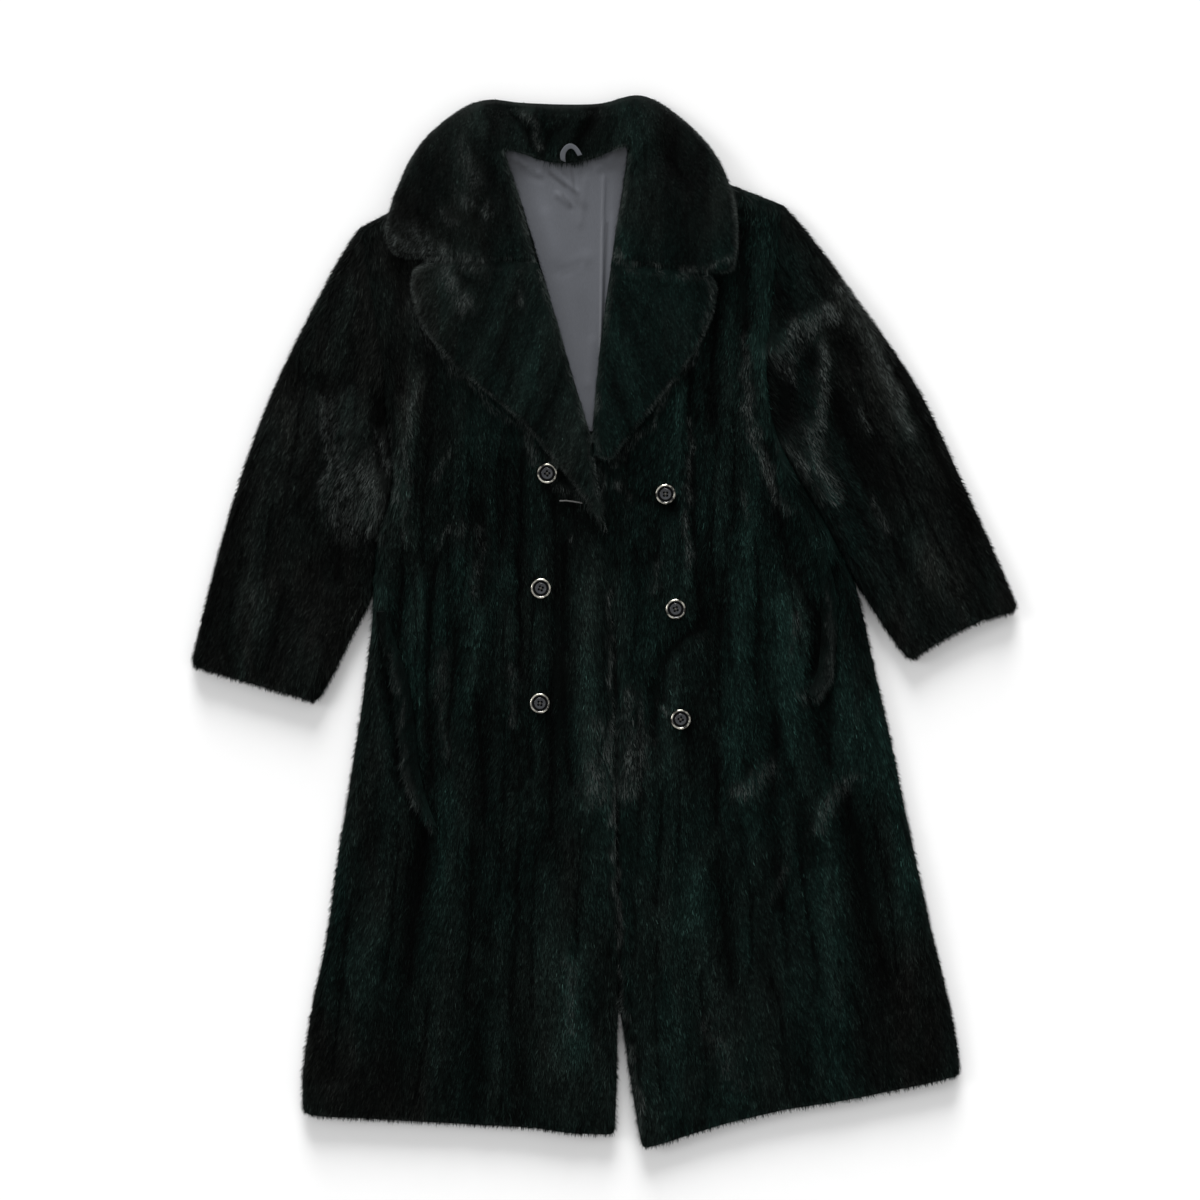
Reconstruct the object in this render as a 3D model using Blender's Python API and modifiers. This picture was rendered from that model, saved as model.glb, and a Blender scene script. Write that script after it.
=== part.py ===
"""Full-length double-breasted fur coat, laid flat on its back with its front side up.

Frame: +X runs across the coat, +Y towards the collar, +Z up. The origin is under the middle of
the coat, on the surface that it lies on. The tables hold millimetres; meshes are in metres.
The coat is layered as the real one is: the back on the surface, the fronts on the back, the
lapels and collar turned over on the fronts, and the sleeves as flattened tubes beside them.
"""

import math
from collections import namedtuple

import bmesh
import bpy
import numpy as np
from mathutils import Vector
from mathutils.bvhtree import BVHTree

MM = 0.001

# Thicknesses, in millimetres
SEAM_GAP = 0.3  # between pieces that touch
FUR_WALL = 9.0  # pelt and pile of one layer
LINING_WALL = 1.5
LOOP_WALL = 1.2
LIP_WALL = 3.6
COLLAR_CROWN = 2.0  # how much a collar or lapel is fuller in its middle
LAPEL_CROWN = 1.5
LEAST_FUR = 5.0  # thinnest that a collar or lapel gets where it passes over something
BACK_TOP = FUR_WALL
FRONT_LOW = BACK_TOP + SEAM_GAP
FRONT_TOP = FRONT_LOW + FUR_WALL
SLEEVE_TOP = 2 * FUR_WALL + 0.6
SLOT_HALF_HEIGHT = 0.35  # half of the flattened room inside a sleeve
CUFF_SLOT_HALF_HEIGHT = 1.5
SLOT_OPENS_AT = 0.6  # share of the sleeve's length from which its room widens to the cuff
LARGEST_LIFT = 2.5  # how far a ridge lifts the underside of its wall

# How far around itself a piece clears what it lies on, in millimetres
COLLAR_REACH = 24.0
COLLAR_FADE = 26.0  # the collar sinks to the surface over this much past its reach
LAPEL_REACH = 18.0
LOOP_REACH = 4.0
LIP_REACH = 10.0
HOOK_REACH = 6.0

# Edges, in millimetres
EDGE_STEPS = (0.0, 0.12, 0.45, 1.0)  # shares of a rounding where it gets its points
THIN_EDGE_STEPS = (0.0, 0.3, 1.0)  # the same for a thin or narrow piece
SQUARE = (0, 0, 0, 0)  # radii of the corners: start left, start right, end left, end right
HEM_ROUND = 4.5
HEM = (HEM_ROUND, 0.5)  # rounding and rim level of a hem
CUFF_SHARE = 0.8  # how much of a sleeve's height is left at its two ends
WAVE_REACH = 90.0  # how far from an edge its wave fades out
VENT_TOP_Y = -436.0
VENT = ((-640.0, 20.0), (-626.0, 19.0), (-560.0, 13.0), (-500.0, 7.0), (VENT_TOP_Y, 0.0))

# Buttons, in millimetres
BUTTON_RADIUS = 12.0
BUTTON_SEAT = 15.0  # level fur under a button, and where that has blended into the folds
BUTTON_SEAT_BLEND = 30.0
BUTTON_TURNS = 16
BUTTON_HOLE_RADIUS = 1.1
BUTTON_HOLE_CENTRE = 2.3
PIN_LENGTH = 20.0
BUTTON_PROFILE = (  # radius, height: down the outer side from the middle of the top
    (0.0, 2.4), (5.6, 2.4), (6.6, 3.6), (8.4, 3.2), (9.4, 4.2), (11.6, 4.0), (BUTTON_RADIUS, 2.4),
    (10.4, 0.0), (0.0, 0.0),
)

# One row for each section of the half coat, from the hem to the shoulder, in millimetres:
# the side edge, the rounding there, the front's inner edge with its rounding and the level
# of its rim (0 at the underside, 1 at the top), and the middle of the back.
Half = namedtuple("Half", "side_x side_y side_round front_x front_y front_round front_level back_x back_y")

RIGHT_HALF = [
    Half(-362, -586, 9, 11, -609, 4.5, 0.5, 27, -606),
    Half(-355, -510, 9, 13, -520, 4.5, 0.5, 19, -520),
    Half(-343, -440, 9, 13, -440, 4.5, 0.5, 14, -440),
    Half(-328, -370, 9, 12, -370, 4.5, 0.5, 12, -370),
    Half(-319, -300, 9, 11, -300, 4.5, 0.5, 11, -300),
    Half(-306, -220, 9, 11, -220, 4.5, 0.5, 10, -220),
    Half(-294, -140, 9, 9.5, -140, 4.5, 0.5, 9, -140),
    Half(-283, -65, 9, 8, -65, 4.5, 0.5, 8, -65),
    Half(-276, 0, 9, 6, 0, 4.5, 0.5, 6, 0),
    Half(-273, 55, 9, 4, 55, 4.5, 0.5, 3, 55),
    Half(-270, 106, 9, 1.5, 107, 4.5, 0.6, -1, 107),
    Half(-255, 141, 9, -7, 145, 5, 0.8, -5, 145),
    Half(-250, 169, 8, -13, 183, 7, 1, -10, 183),
    Half(-252, 208, 6, -18.5, 218, 9, 1, -14, 218),
    Half(-260, 246, 4, -31.5, 259, 9, 1, -18, 259),
    Half(-262, 290, 3, -46, 308, 9, 1, -22, 308),
    Half(-270, 340, 3, -66, 377, 9, 1, -28, 377),
    Half(-278.8, 395, 3, -87, 448, 9, 1, -35, 448),
    Half(-285.2, 435, 3, -104, 505, 9, 1, -41, 500),
    Half(-290, 465, 4, -121.7, 556, 9, 1, -45, 541),
]
LEFT_HALF = [
    Half(422, -539, 9, 43, -627, 4.5, 0.5, 27, -606),
    Half(411, -478, 9, 27, -520, 4.5, 0.5, 19, -520),
    Half(398, -420, 9, 18, -440, 4.5, 0.5, 14, -440),
    Half(385, -366, 9, 15, -370, 4.5, 0.5, 12, -370),
    Half(370, -298, 9, 14, -300, 4.5, 0.5, 11, -300),
    Half(353, -220, 9, 13.5, -220, 4.5, 0.5, 10, -220),
    Half(337, -140, 9, 13, -140, 4.5, 0.5, 9, -140),
    Half(320, -65, 9, 11.5, -65, 4.5, 0.5, 8, -65),
    Half(306, 0, 9, 9.5, 0, 4.5, 0.5, 6, 0),
    Half(297, 42, 9, 7, 50, 4.5, 0.5, 3, 55),
    Half(276, 84, 9, 4.5, 105, 4.5, 0.6, -1, 107),
    Half(257, 121, 9, -4, 145, 5, 0.8, -5, 145),
    Half(237, 152, 9, -10, 183, 7, 1, -10, 183),
    Half(217, 185, 9, -14.5, 218, 9, 1, -14, 218),
    Half(202, 218, 8, -11, 259, 9, 1, -18, 259),
    Half(192, 255, 6, -7, 308, 9, 1, -22, 308),
    Half(188.5, 300, 4, 2, 377, 9, 1, -28, 377),
    Half(196.7, 375, 3, 12, 448, 9, 1, -35, 448),
    Half(203.8, 440, 3, 21, 505, 9, 1, -41, 500),
    Half(209.5, 492, 4, 29, 562, 9, 1, -45, 541),
]

# Sections of a sleeve, from the armhole to the cuff: outer edge, inner edge, rim rounding.
Sleeve = namedtuple("Sleeve", "outer_x outer_y inner_x inner_y outer_round inner_round")

RIGHT_SLEEVE = [
    Sleeve(-290.8, 465, -263.2, 290, 9, 3),
    Sleeve(-316, 426, -261.6, 246, 9, 4),
    Sleeve(-341, 378, -253.6, 208, 9, 6),
    Sleeve(-372, 318, -251.6, 169, 9, 8),
    Sleeve(-396, 267, -256.6, 141.2, 9, 9),
    Sleeve(-420, 203, -271.6, 106.4, 9, 9),
    Sleeve(-440, 142, -274.4, 60, 9, 9),
    Sleeve(-453, 97, -277, 24, 9, 9),
    Sleeve(-463, 58, -292, 0, 9, 9),
    Sleeve(-476, 8, -314, -46, 9, 9),
    Sleeve(-492, -52, -338, -97, 9, 9),
]
LEFT_SLEEVE = [
    Sleeve(210.3, 492, 189.6, 300, 9, 3),
    Sleeve(238, 460, 193.8, 255.2, 9, 5),
    Sleeve(266, 424, 203.6, 218.6, 9, 7),
    Sleeve(292, 386, 218.4, 185.9, 9, 9),
    Sleeve(318, 351, 238.4, 152.9, 9, 9),
    Sleeve(347, 310, 258.4, 121.9, 9, 9),
    Sleeve(375, 267, 277.6, 84.6, 9, 9),
    Sleeve(402, 208, 299, 42.4, 9, 9),
    Sleeve(428, 150, 317, 14, 9, 9),
    Sleeve(456, 89, 336, -15, 9, 9),
    Sleeve(490, 14, 357, -49, 9, 9),
]

# Stations of the collar, from the end of the right leaf round the neck to that of the left:
# inner edge, outer edge, height of the top at each, rounding and rim level of each edge.
Collar = namedtuple(
    "Collar",
    "inner_x inner_y outer_x outer_y inner_top outer_top inner_round outer_round inner_level outer_level",
)

COLLAR = [
    Collar(-83, 425, -254, 431, 30, 31, 10, 8, 0, 0.4),
    Collar(-90, 450, -258, 460, 30, 31, 10, 8, 0, 0.4),
    Collar(-97, 478, -254, 488, 30, 31, 10, 8, 0, 0.4),
    Collar(-104, 505, -244, 515, 30, 31, 10, 9, 0, 0.4),
    Collar(-111, 528, -231, 545, 30, 30, 10, 10, 0, 0.4),
    Collar(-118, 547, -208, 577, 29, 28, 10, 12, 0, 0.45),
    Collar(-120, 556, -178, 602, 28, 27, 9, 12, 0.1, 0.45),
    Collar(-113, 557, -144, 620, 27, 27, 8, 12, 0.3, 0.45),
    Collar(-95, 552, -112, 614, 21, 27, 6, 12, 0.5, 0.45),
    Collar(-70, 545, -78, 612, 18, 26, 5, 12, 0.5, 0.45),
    Collar(-45, 543, -44, 611, 17, 26, 5, 12, 0.5, 0.45),
    Collar(-20, 547, -4, 612, 18, 26, 5, 12, 0.5, 0.45),
    Collar(5, 555, 22, 620, 21, 27, 6, 12, 0.5, 0.45),
    Collar(21, 562, 47, 625, 27, 27, 8, 12, 0.3, 0.45),
    Collar(28, 561, 82, 601, 28, 27, 9, 12, 0.1, 0.45),
    Collar(27, 545, 121, 564, 29, 28, 10, 12, 0, 0.45),
    Collar(24, 520, 143, 525, 30, 30, 10, 10, 0, 0.4),
    Collar(20, 495, 152, 488, 30, 31, 10, 8, 0, 0.4),
    Collar(15, 468, 155, 456, 30, 31, 10, 8, 0, 0.4),
    Collar(9.5, 426, 152, 411, 30, 31, 10, 8, 0, 0.4),
]

# Sections of a lapel, from its lower point to the gorge: left edge, right edge, top height,
# rounding and rim level of each edge.
Lapel = namedtuple("Lapel", "left_x left_y right_x right_y top left_round right_round left_level right_level")

RIGHT_LAPEL = [
    Lapel(-8, 121, 0.5, 104, 26, 4, 4, 0.3, 0.2),
    Lapel(-24, 147, -7.5, 146, 28, 6, 6, 0.35, 0.1),
    Lapel(-44, 173, -13.5, 183, 30, 7, 9, 0.4, 0),
    Lapel(-72, 207, -18.5, 218, 31, 8, 10, 0.4, 0),
    Lapel(-98, 237, -31.5, 259, 31, 8, 10, 0.4, 0),
    Lapel(-133, 266, -46, 308, 31, 8, 10, 0.4, 0),
    Lapel(-168, 296, -56, 345, 31, 8, 10, 0.4, 0),
    Lapel(-197, 325, -66, 377, 31, 8, 10, 0.4, 0),
    Lapel(-222, 363, -74, 403, 31, 8, 10, 0.4, 0),
    Lapel(-235, 426, -80.5, 422.5, 30, 8, 10, 0.4, 0),
]
LEFT_LAPEL = [
    Lapel(-12, 197, 4, 190, 27, 4, 5, 0.2, 0.35),
    Lapel(-14.5, 218, 23, 215, 29, 9, 7, 0.05, 0.4),
    Lapel(-12, 248, 47, 244, 30, 10, 8, 0, 0.4),
    Lapel(-9, 282, 75, 279, 30, 10, 8, 0, 0.4),
    Lapel(-6, 315, 99, 311, 30, 10, 8, 0, 0.4),
    Lapel(-1, 350, 117, 342, 30, 10, 8, 0, 0.4),
    Lapel(4, 388, 130, 377, 30, 10, 8, 0, 0.4),
    Lapel(8.5, 422.5, 133, 409, 30, 10, 8, 0, 0.4),
]

# Sections of the lining where it shows, from the bottom of the neck opening to the neck seam.
Lining = namedtuple("Lining", "left_x left_y right_x right_y")

LINING = [
    Lining(-19, 224, -15, 224),
    Lining(-30, 247, -10, 247),
    Lining(-50, 312, -5, 312),
    Lining(-69, 378, 4.5, 378),
    Lining(-90, 449, 14.5, 449),
    Lining(-107, 506, 23, 506),
    Lining(-121, 548, 27, 555),
]

# A strip that lies on the coat: left edge and right edge of each section.
Strip = namedtuple("Strip", "left_x left_y right_x right_y")

RIGHT_POCKET_LIP = [
    Strip(-270, 10, -262, 10),
    Strip(-262, -30, -249, -28),
    Strip(-250, -70, -235, -69),
    Strip(-244, -110, -228, -110),
    Strip(-241, -150, -225, -151),
    Strip(-235, -185, -219, -189),
    Strip(-224, -214, -210, -221),
    Strip(-206, -240, -199, -246),
]
LEFT_POCKET_LIP = [
    Strip(240, -86, 246, -93),
    Strip(250, -68, 262, -74),
    Strip(255, -40, 270, -43),
    Strip(257, -5, 272, -5),
    Strip(257, 25, 271, 26),
    Strip(254, 56, 266, 59),
    Strip(251, 84, 258, 87),
]
HANGER_LOOP = [
    Strip(-53, 545, -47, 542),
    Strip(-54, 552, -47.5, 551),
    Strip(-49, 561, -45, 556),
    Strip(-41, 564.5, -40.5, 558.5),
    Strip(-33, 560, -36.5, 555.5),
    Strip(-27.5, 551, -33, 549.5),
]

# Folds: a curve from start to end that bows sideways by bow at its middle, and the height of
# its ridge, or the depth of its trough where that is negative.
Fold = namedtuple("Fold", "start_x start_y end_x end_y bow half_width height")

RIGHT_FRONT_FOLDS = [
    Fold(-97, 200, -99, -60, -4, 10, -3.5),  # hollow along the button column
    Fold(-121, 195, -122, 90, 0, 7, -3.0),
    Fold(-109, 150, -112, -40, 0, 8, 2.5),
    Fold(-147, 130, -146, 25, 0, 9, -3.0),
    Fold(-199, 75, -205, -190, -8, 9, -4.0),
    Fold(-240, 112, -243, -10, 0, 9, -3.5),
    Fold(-222, 290, -236, 95, -8, 10, 6.0),  # ridge below the armhole
    Fold(-246, 262, -241, 178, 0, 7, 3.5),
    Fold(-48, 95, -42, -190, -5, 13, -4.0),  # hollow beside the front edge
    Fold(-17, 50, -20, -210, 0, 14, 2.5),
    Fold(-152, -90, -141, -240, 0, 10, -3.5),
    Fold(-177, -5, -187, -170, 0, 9, -3.0),
    Fold(-131, 60, -163, -95, 0, 10, 2.5),
    Fold(-170, 85, -168, -20, 0, 10, 3.0),
    Fold(-218, 50, -222, -95, 0, 12, 3.0),
    Fold(-212, -232, -233, -425, 0, 15, -4.0),
    Fold(-62, -70, -63, -250, 0, 11, -3.0),
    Fold(-188, -195, -200, -335, 0, 12, 2.5),
    Fold(-262, -250, -292, -520, 0, 24, 4.0),
    Fold(-100, -260, -113, -475, 0, 15, -3.5),
    Fold(-40, -380, -42, -525, 0, 20, 3.0),
    Fold(-258, -30, -243, -190, 0, 10, -3.0),  # mouth of the pocket
]
LEFT_FRONT_FOLDS = [
    Fold(157, 470, 164, 318, 3, 9, -5.0),
    Fold(132, 400, 126, 228, 0, 8, -4.0),
    Fold(100, 300, 115, -10, -4, 9, -5.0),  # long trough beside the buttons
    Fold(114, -5, 60, -84, -16, 9, -5.0),
    Fold(60, -82, 56, -140, 0, 9, -3.0),
    Fold(90, 280, 101, 50, -3, 8, 4.0),
    Fold(28, 152, 80, 137, 0, 7, -3.0),
    Fold(22, 212, 28, 156, 0, 7, -3.0),
    Fold(170, 335, 213, 135, 16, 10, 6.0),  # ridge below the armhole
    Fold(190, 212, 240, 25, -8, 8, -4.0),
    Fold(211, 178, 262, 75, -3, 8, 3.0),
    Fold(273, 70, 266, -165, -6, 8, -4.0),
    Fold(285, -195, 332, -425, 0, 13, -5.0),
    Fold(130, -165, 132, -240, 0, 10, -3.0),
    Fold(200, -120, 198, -205, 0, 9, -3.0),
    Fold(132, -285, 150, -430, 0, 14, -4.0),
    Fold(66, -200, 60, -330, 0, 13, -3.0),
    Fold(112, -285, 98, -365, 0, 13, 3.0),
    Fold(192, -170, 162, -207, 0, 10, 3.0),
    Fold(278, -188, 250, -247, 0, 10, 3.5),
    Fold(170, 100, 160, -150, 0, 17, 3.0),
    Fold(205, 20, 216, -150, 0, 14, 3.0),
    Fold(346, -250, 382, -430, 0, 18, 4.0),
    Fold(205, -285, 215, -400, 0, 13, -3.0),
    Fold(258, -300, 275, -470, 0, 18, 3.0),
    Fold(245, 22, 244, -58, 10, 10, -4.5),  # mouth of the pocket
    Fold(226, 25, 232, -70, 4, 8, 3.0),
]
RIGHT_SLEEVE_FOLDS = [
    Fold(-338, 290, -318, 50, 14, 9, -5.0),
    Fold(-268, 268, -261, 185, 0, 10, -6.0),  # hollow at the armpit
    Fold(-302, 255, -274, 130, 0, 20, 6.0),
    Fold(-304, 114, -276, 98, 0, 9, -4.0),
    Fold(-380, 250, -420, 0, 4, 26, 5.0),
    Fold(-395, 135, -400, 55, 0, 11, -3.0),
    Fold(-425, -5, -430, -62, 0, 9, 2.5),
    Fold(-340, -10, -350, -70, 0, 16, 3.0),
    Fold(-300, 400, -330, 310, 0, 22, 4.0),
]
LEFT_SLEEVE_FOLDS = [
    Fold(200, 322, 270, 370, 6, 10, 6.0),  # arched ridge over the armpit
    Fold(208, 302, 212, 240, 0, 13, -6.5),  # hollow at the armpit
    Fold(255, 335, 248, 236, -9, 9, 4.5),
    Fold(243, 226, 266, 148, -4, 10, 4.0),
    Fold(274, 258, 318, 132, -3, 10, -4.0),
    Fold(330, 118, 353, 64, 0, 9, -3.0),
    Fold(282, 398, 355, 226, 8, 11, 5.0),
    Fold(332, 318, 430, 112, 5, 16, -4.5),
    Fold(300, 290, 392, 60, 0, 20, 4.0),
    Fold(452, 60, 462, 22, 0, 14, 2.5),
]
COLLAR_FOLDS = [
    Fold(-112, 606, -84, 560, 3, 9, -4.0),
    Fold(-13, 606, -32, 560, -3, 9, -4.0),
    Fold(-150, 590, -128, 552, 0, 14, 3.0),
    Fold(45, 600, 34, 560, 0, 14, 3.0),
    Fold(-222, 475, -210, 440, 0, 11, -3.0),
    Fold(70, 555, 95, 520, 0, 14, -2.5),
]
LINING_FOLDS = [
    Fold(1, 528, -2, 340, 0, 6, 2.0),
    Fold(-62, 530, -38, 502, 0, 5, -0.6),
    Fold(-56, 503, -40, 480, 2, 5, 1.2),
    Fold(-95, 540, -45, 533, -3, 5, 1.0),
]

Button = namedtuple("Button", "name x y")
BUTTONS = [
    Button("button_right_1", -69, 174),
    Button("button_right_2", -76.5, 38),
    Button("button_right_3", -77.5, -98),
    Button("button_left_1", 71, 149.5),
    Button("button_left_2", 83, 13.5),
    Button("button_left_3", 89, -117),
]

HOOK_EYE = ((-54.5, 141.5), (-46.0, 141.8), (-37.0, 140.6), (-27.5, 139.0))
HOOK_EYE_RADIUS = 0.9

# Base colour, roughness and metallic value of each material
FUR = (0.012, 0.028, 0.025), 0.75, 0.0
SLEEVE_FUR = (0.013, 0.017, 0.016), 0.75, 0.0
SATIN = (0.30, 0.30, 0.34), 0.35, 0.0
HORN = (0.12, 0.12, 0.12), 0.25, 0.3
WIRE = (0.45, 0.45, 0.42), 0.4, 0.8


def clear_scene():
    for thing in list(bpy.data.objects):
        bpy.data.objects.remove(thing, do_unlink=True)


def new_collection(name):
    made = bpy.data.collections.new(name)
    bpy.context.scene.collection.children.link(made)
    return made


def material(name, look):
    """A plain Principled finish."""
    colour, roughness, metallic = look
    made = bpy.data.materials.new(name)
    made.use_nodes = True
    shader = made.node_tree.nodes["Principled BSDF"]
    shader.inputs["Base Color"].default_value = (*colour, 1.0)
    shader.inputs["Roughness"].default_value = roughness
    shader.inputs["Metallic"].default_value = metallic
    return made


class FoldField:
    """The height that a table of folds adds at a place."""

    PIECES = 8

    def __init__(self, folds):
        starts, ends, fades = [], [], []
        steps = np.linspace(0.0, 1.0, self.PIECES + 1)
        for fold in folds:
            first = np.array((fold.start_x, fold.start_y), float)
            last = np.array((fold.end_x, fold.end_y), float)
            along = last - first
            side = np.array((-along[1], along[0])) / np.linalg.norm(along)
            middle = (first + last) / 2 + side * 2 * fold.bow
            t = steps[:, None]
            curve = (1 - t) ** 2 * first + 2 * t * (1 - t) * middle + t**2 * last
            starts.append(curve[:-1])
            ends.append(curve[1:])
            fades.append(np.sin(np.pi * (0.06 + 0.88 * steps)) ** 0.7)
        self.starts = np.array(starts)
        self.runs = np.array(ends) - self.starts
        self.lengths = (self.runs**2).sum(axis=2)
        self.fades = np.array(fades)
        self.widths = np.array([fold.half_width for fold in folds], float)
        self.heights = np.array([fold.height for fold in folds], float)

    def height(self, x, y):
        offset = np.array((x, y)) - self.starts
        share = np.clip((offset * self.runs).sum(axis=2) / self.lengths, 0, 1)
        gap = offset - self.runs * share[:, :, None]
        distance = (gap**2).sum(axis=2) / self.widths[:, None] ** 2
        fade = self.fades[:, :-1] * (1 - share) + self.fades[:, 1:] * share
        return float((self.heights * (fade * np.exp(-distance)).max(axis=1)).sum())


def section_at(rows, t):
    """The section at t, counted in rows, on a smooth curve through each column of the table."""
    i = min(int(t), len(rows) - 2)
    f = t - i
    a, b, c, d = (rows[min(max(k, 0), len(rows) - 1)] for k in (i - 1, i, i + 1, i + 2))
    return 0.5 * (2 * b + (c - a) * f + (2 * a - 5 * b + 4 * c - d) * f**2 + (3 * b - a - 3 * c + d) * f**3)


def rounded(distance, radius):
    """Share of the full thickness at a distance from a rounded rim."""
    if radius <= 0:
        return 1.0
    inward = min(max(distance / radius, 0.0), 1.0)
    return math.sqrt(1 - (1 - inward) ** 2)


def eased(value, low, high):
    """0 below low, 1 above high and smooth between."""
    t = min(max((value - low) / (high - low), 0.0), 1.0)
    return t * t * (3 - 2 * t)


def spaced(total, count, first_round, last_round, edge_steps):
    """Distances from one edge to the other, closer together on the rounded edges."""
    first = [first_round * step for step in edge_steps] if first_round else [0.0]
    last = [total - last_round * step for step in reversed(edge_steps)] if last_round else [total]
    inner = np.linspace(first[-1], last[0], count + 1)
    return first[:-1] + list(inner) + last[1:]


class Layout:
    """Places points on a piece from the table of its sections."""

    FINE = 12

    def __init__(self, rows, start_wave=(), end_wave=(), measured_at=0.5):
        self.rows = np.array(rows, float)
        self.start_wave = start_wave
        self.end_wave = end_wave
        self.ticks = np.linspace(0, len(rows) - 1, self.FINE * (len(rows) - 1) + 1)
        sections = [section_at(self.rows, t) for t in self.ticks]
        places = [s[0:2] + (s[2:4] - s[0:2]) * measured_at for s in sections]
        steps = [0.0] + [float(np.linalg.norm(b - a)) for a, b in zip(places, places[1:])]
        self.travel = np.cumsum(steps)
        self.length = float(self.travel[-1])

    def stops(self, step, start_round, end_round, edge_steps):
        """Distances of the cross-sections: the table's rows, more of them where the rows lie
        further apart than a step, and the points of the rounded ends."""
        marks = self.travel[:: self.FINE]
        found = []
        for near, far in zip(marks, marks[1:]):
            parts = math.ceil((far - near) / step)
            found += [near + (far - near) * k / parts for k in range(parts)]
        start = [start_round * share for share in edge_steps]
        end = [self.length - end_round * share for share in reversed(edge_steps)]
        return start + [stop for stop in found if start[-1] + 2 < stop < end[0] - 2] + end

    def section(self, along):
        return section_at(self.rows, float(np.interp(along, self.travel, self.ticks)))

    def width(self, along):
        section = self.section(along)
        return float(np.linalg.norm(section[2:4] - section[0:2]))

    def point(self, along, share):
        """The place at a distance along the piece and a share of its width."""
        section = self.section(along)
        x, y = section[0:2] + (section[2:4] - section[0:2]) * share
        for wave, distance in ((self.start_wave, along), (self.end_wave, self.length - along)):
            if wave:
                shares, rises = zip(*wave)
                fade = max(0.0, 1 - distance / WAVE_REACH) ** 2
                y += float(np.interp(share, shares, rises)) * fade
        return x, y


def turn_corner(across, along, radius):
    """Moves a point of a square corner onto a round one; both distances run from the edges."""
    if across >= radius or along >= radius:
        return across, along
    x, y = radius - across, radius - along
    reach = max(x, y) / math.hypot(x, y)
    return radius - x * reach, radius - y * reach


def corner_place(layout, across, along, width, corners):
    """Distances across and along a piece, with its four corners turned: start left, start
    right, end left, end right."""
    left = across <= width / 2
    start = along <= layout.length / 2
    radius = corners[(0 if start else 2) + (0 if left else 1)]
    from_side = across if left else width - across
    from_end = along if start else layout.length - along
    from_side, from_end = turn_corner(from_side, from_end, radius)
    return (from_side if left else width - from_side), (from_end if start else layout.length - from_end)


def link(mesh, *corners):
    """A face on the corners that differ."""
    kept = []
    for corner in corners:
        if corner not in kept:
            kept.append(corner)
    if len(kept) > 2:
        mesh.faces.new(kept)


def skin_grid(mesh, top, bottom):
    """Faces over and under a grid of points."""
    for near, far, low_near, low_far in zip(top, top[1:], bottom, bottom[1:]):
        for j in range(len(near) - 1):
            link(mesh, near[j], near[j + 1], far[j + 1], far[j])
            link(mesh, low_near[j], low_far[j], low_far[j + 1], low_near[j + 1])


def wall(mesh, layout, heights, across, step, edges, ends, corners=SQUARE, vent_side=None, thin=False):
    """One layer: a closed wall over the piece's sections, with rounded rims.

    heights(x, y, share, section) gives its underside and top, edges(section) the rounding and
    rim level of its left and right edges, and ends those of its start and end. The edge
    numbered vent_side is left open to be joined to the other half, but for the vent.
    """
    edge_steps = THIN_EDGE_STEPS if thin else EDGE_STEPS
    (start_round, start_level), (end_round, end_level) = ends
    top, bottom = [], []
    for travelled in layout.stops(step, start_round, end_round, edge_steps):
        width = layout.width(travelled)
        section = layout.section(travelled)
        (left_round, left_level), (right_round, right_level) = edges(section)
        levels = (left_level, right_level, start_level, end_level)
        top_row, bottom_row = [], []
        for distance in spaced(width, across, left_round, right_round, edge_steps):
            gaps = (distance, width - distance, travelled, layout.length - travelled)
            rounds = [left_round, right_round, start_round, end_round]
            over, onward = corner_place(layout, distance, travelled, width, corners)
            x, y = layout.point(onward, over / layout.width(onward))
            if vent_side is not None:
                parted = float(np.interp(y, *zip(*VENT)))
                x += parted * (-distance / width if vent_side else 1 - distance / width)
                if parted <= 0:
                    rounds[vent_side] = 0
            fill = min(rounded(g, r) for g, r in zip(gaps, rounds))
            weights = [1 / (g + 0.5) ** 2 if r else 0 for g, r in zip(gaps, rounds)]
            rim = sum(w * e for w, e in zip(weights, levels)) / sum(weights)
            low, high = heights(x, y, distance / width, section)
            middle = low + (high - low) * min(max(rim, 0.0), 1.0)
            upper = mesh.verts.new((x * MM, y * MM, (middle + (high - middle) * fill) * MM))
            top_row.append(upper)
            if fill < 1e-6:
                bottom_row.append(upper)
            else:
                bottom_row.append(mesh.verts.new((x * MM, y * MM, (middle - (middle - low) * fill) * MM)))
        top.append(top_row)
        bottom.append(bottom_row)
    skin_grid(mesh, top, bottom)
    if vent_side is not None:
        j = -1 if vent_side else 0
        for near, far, low_near, low_far in zip(top, top[1:], bottom, bottom[1:]):
            if near[j] is low_near[j] and far[j] is not low_far[j]:
                link(mesh, near[j], far[j], low_far[j])


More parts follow.
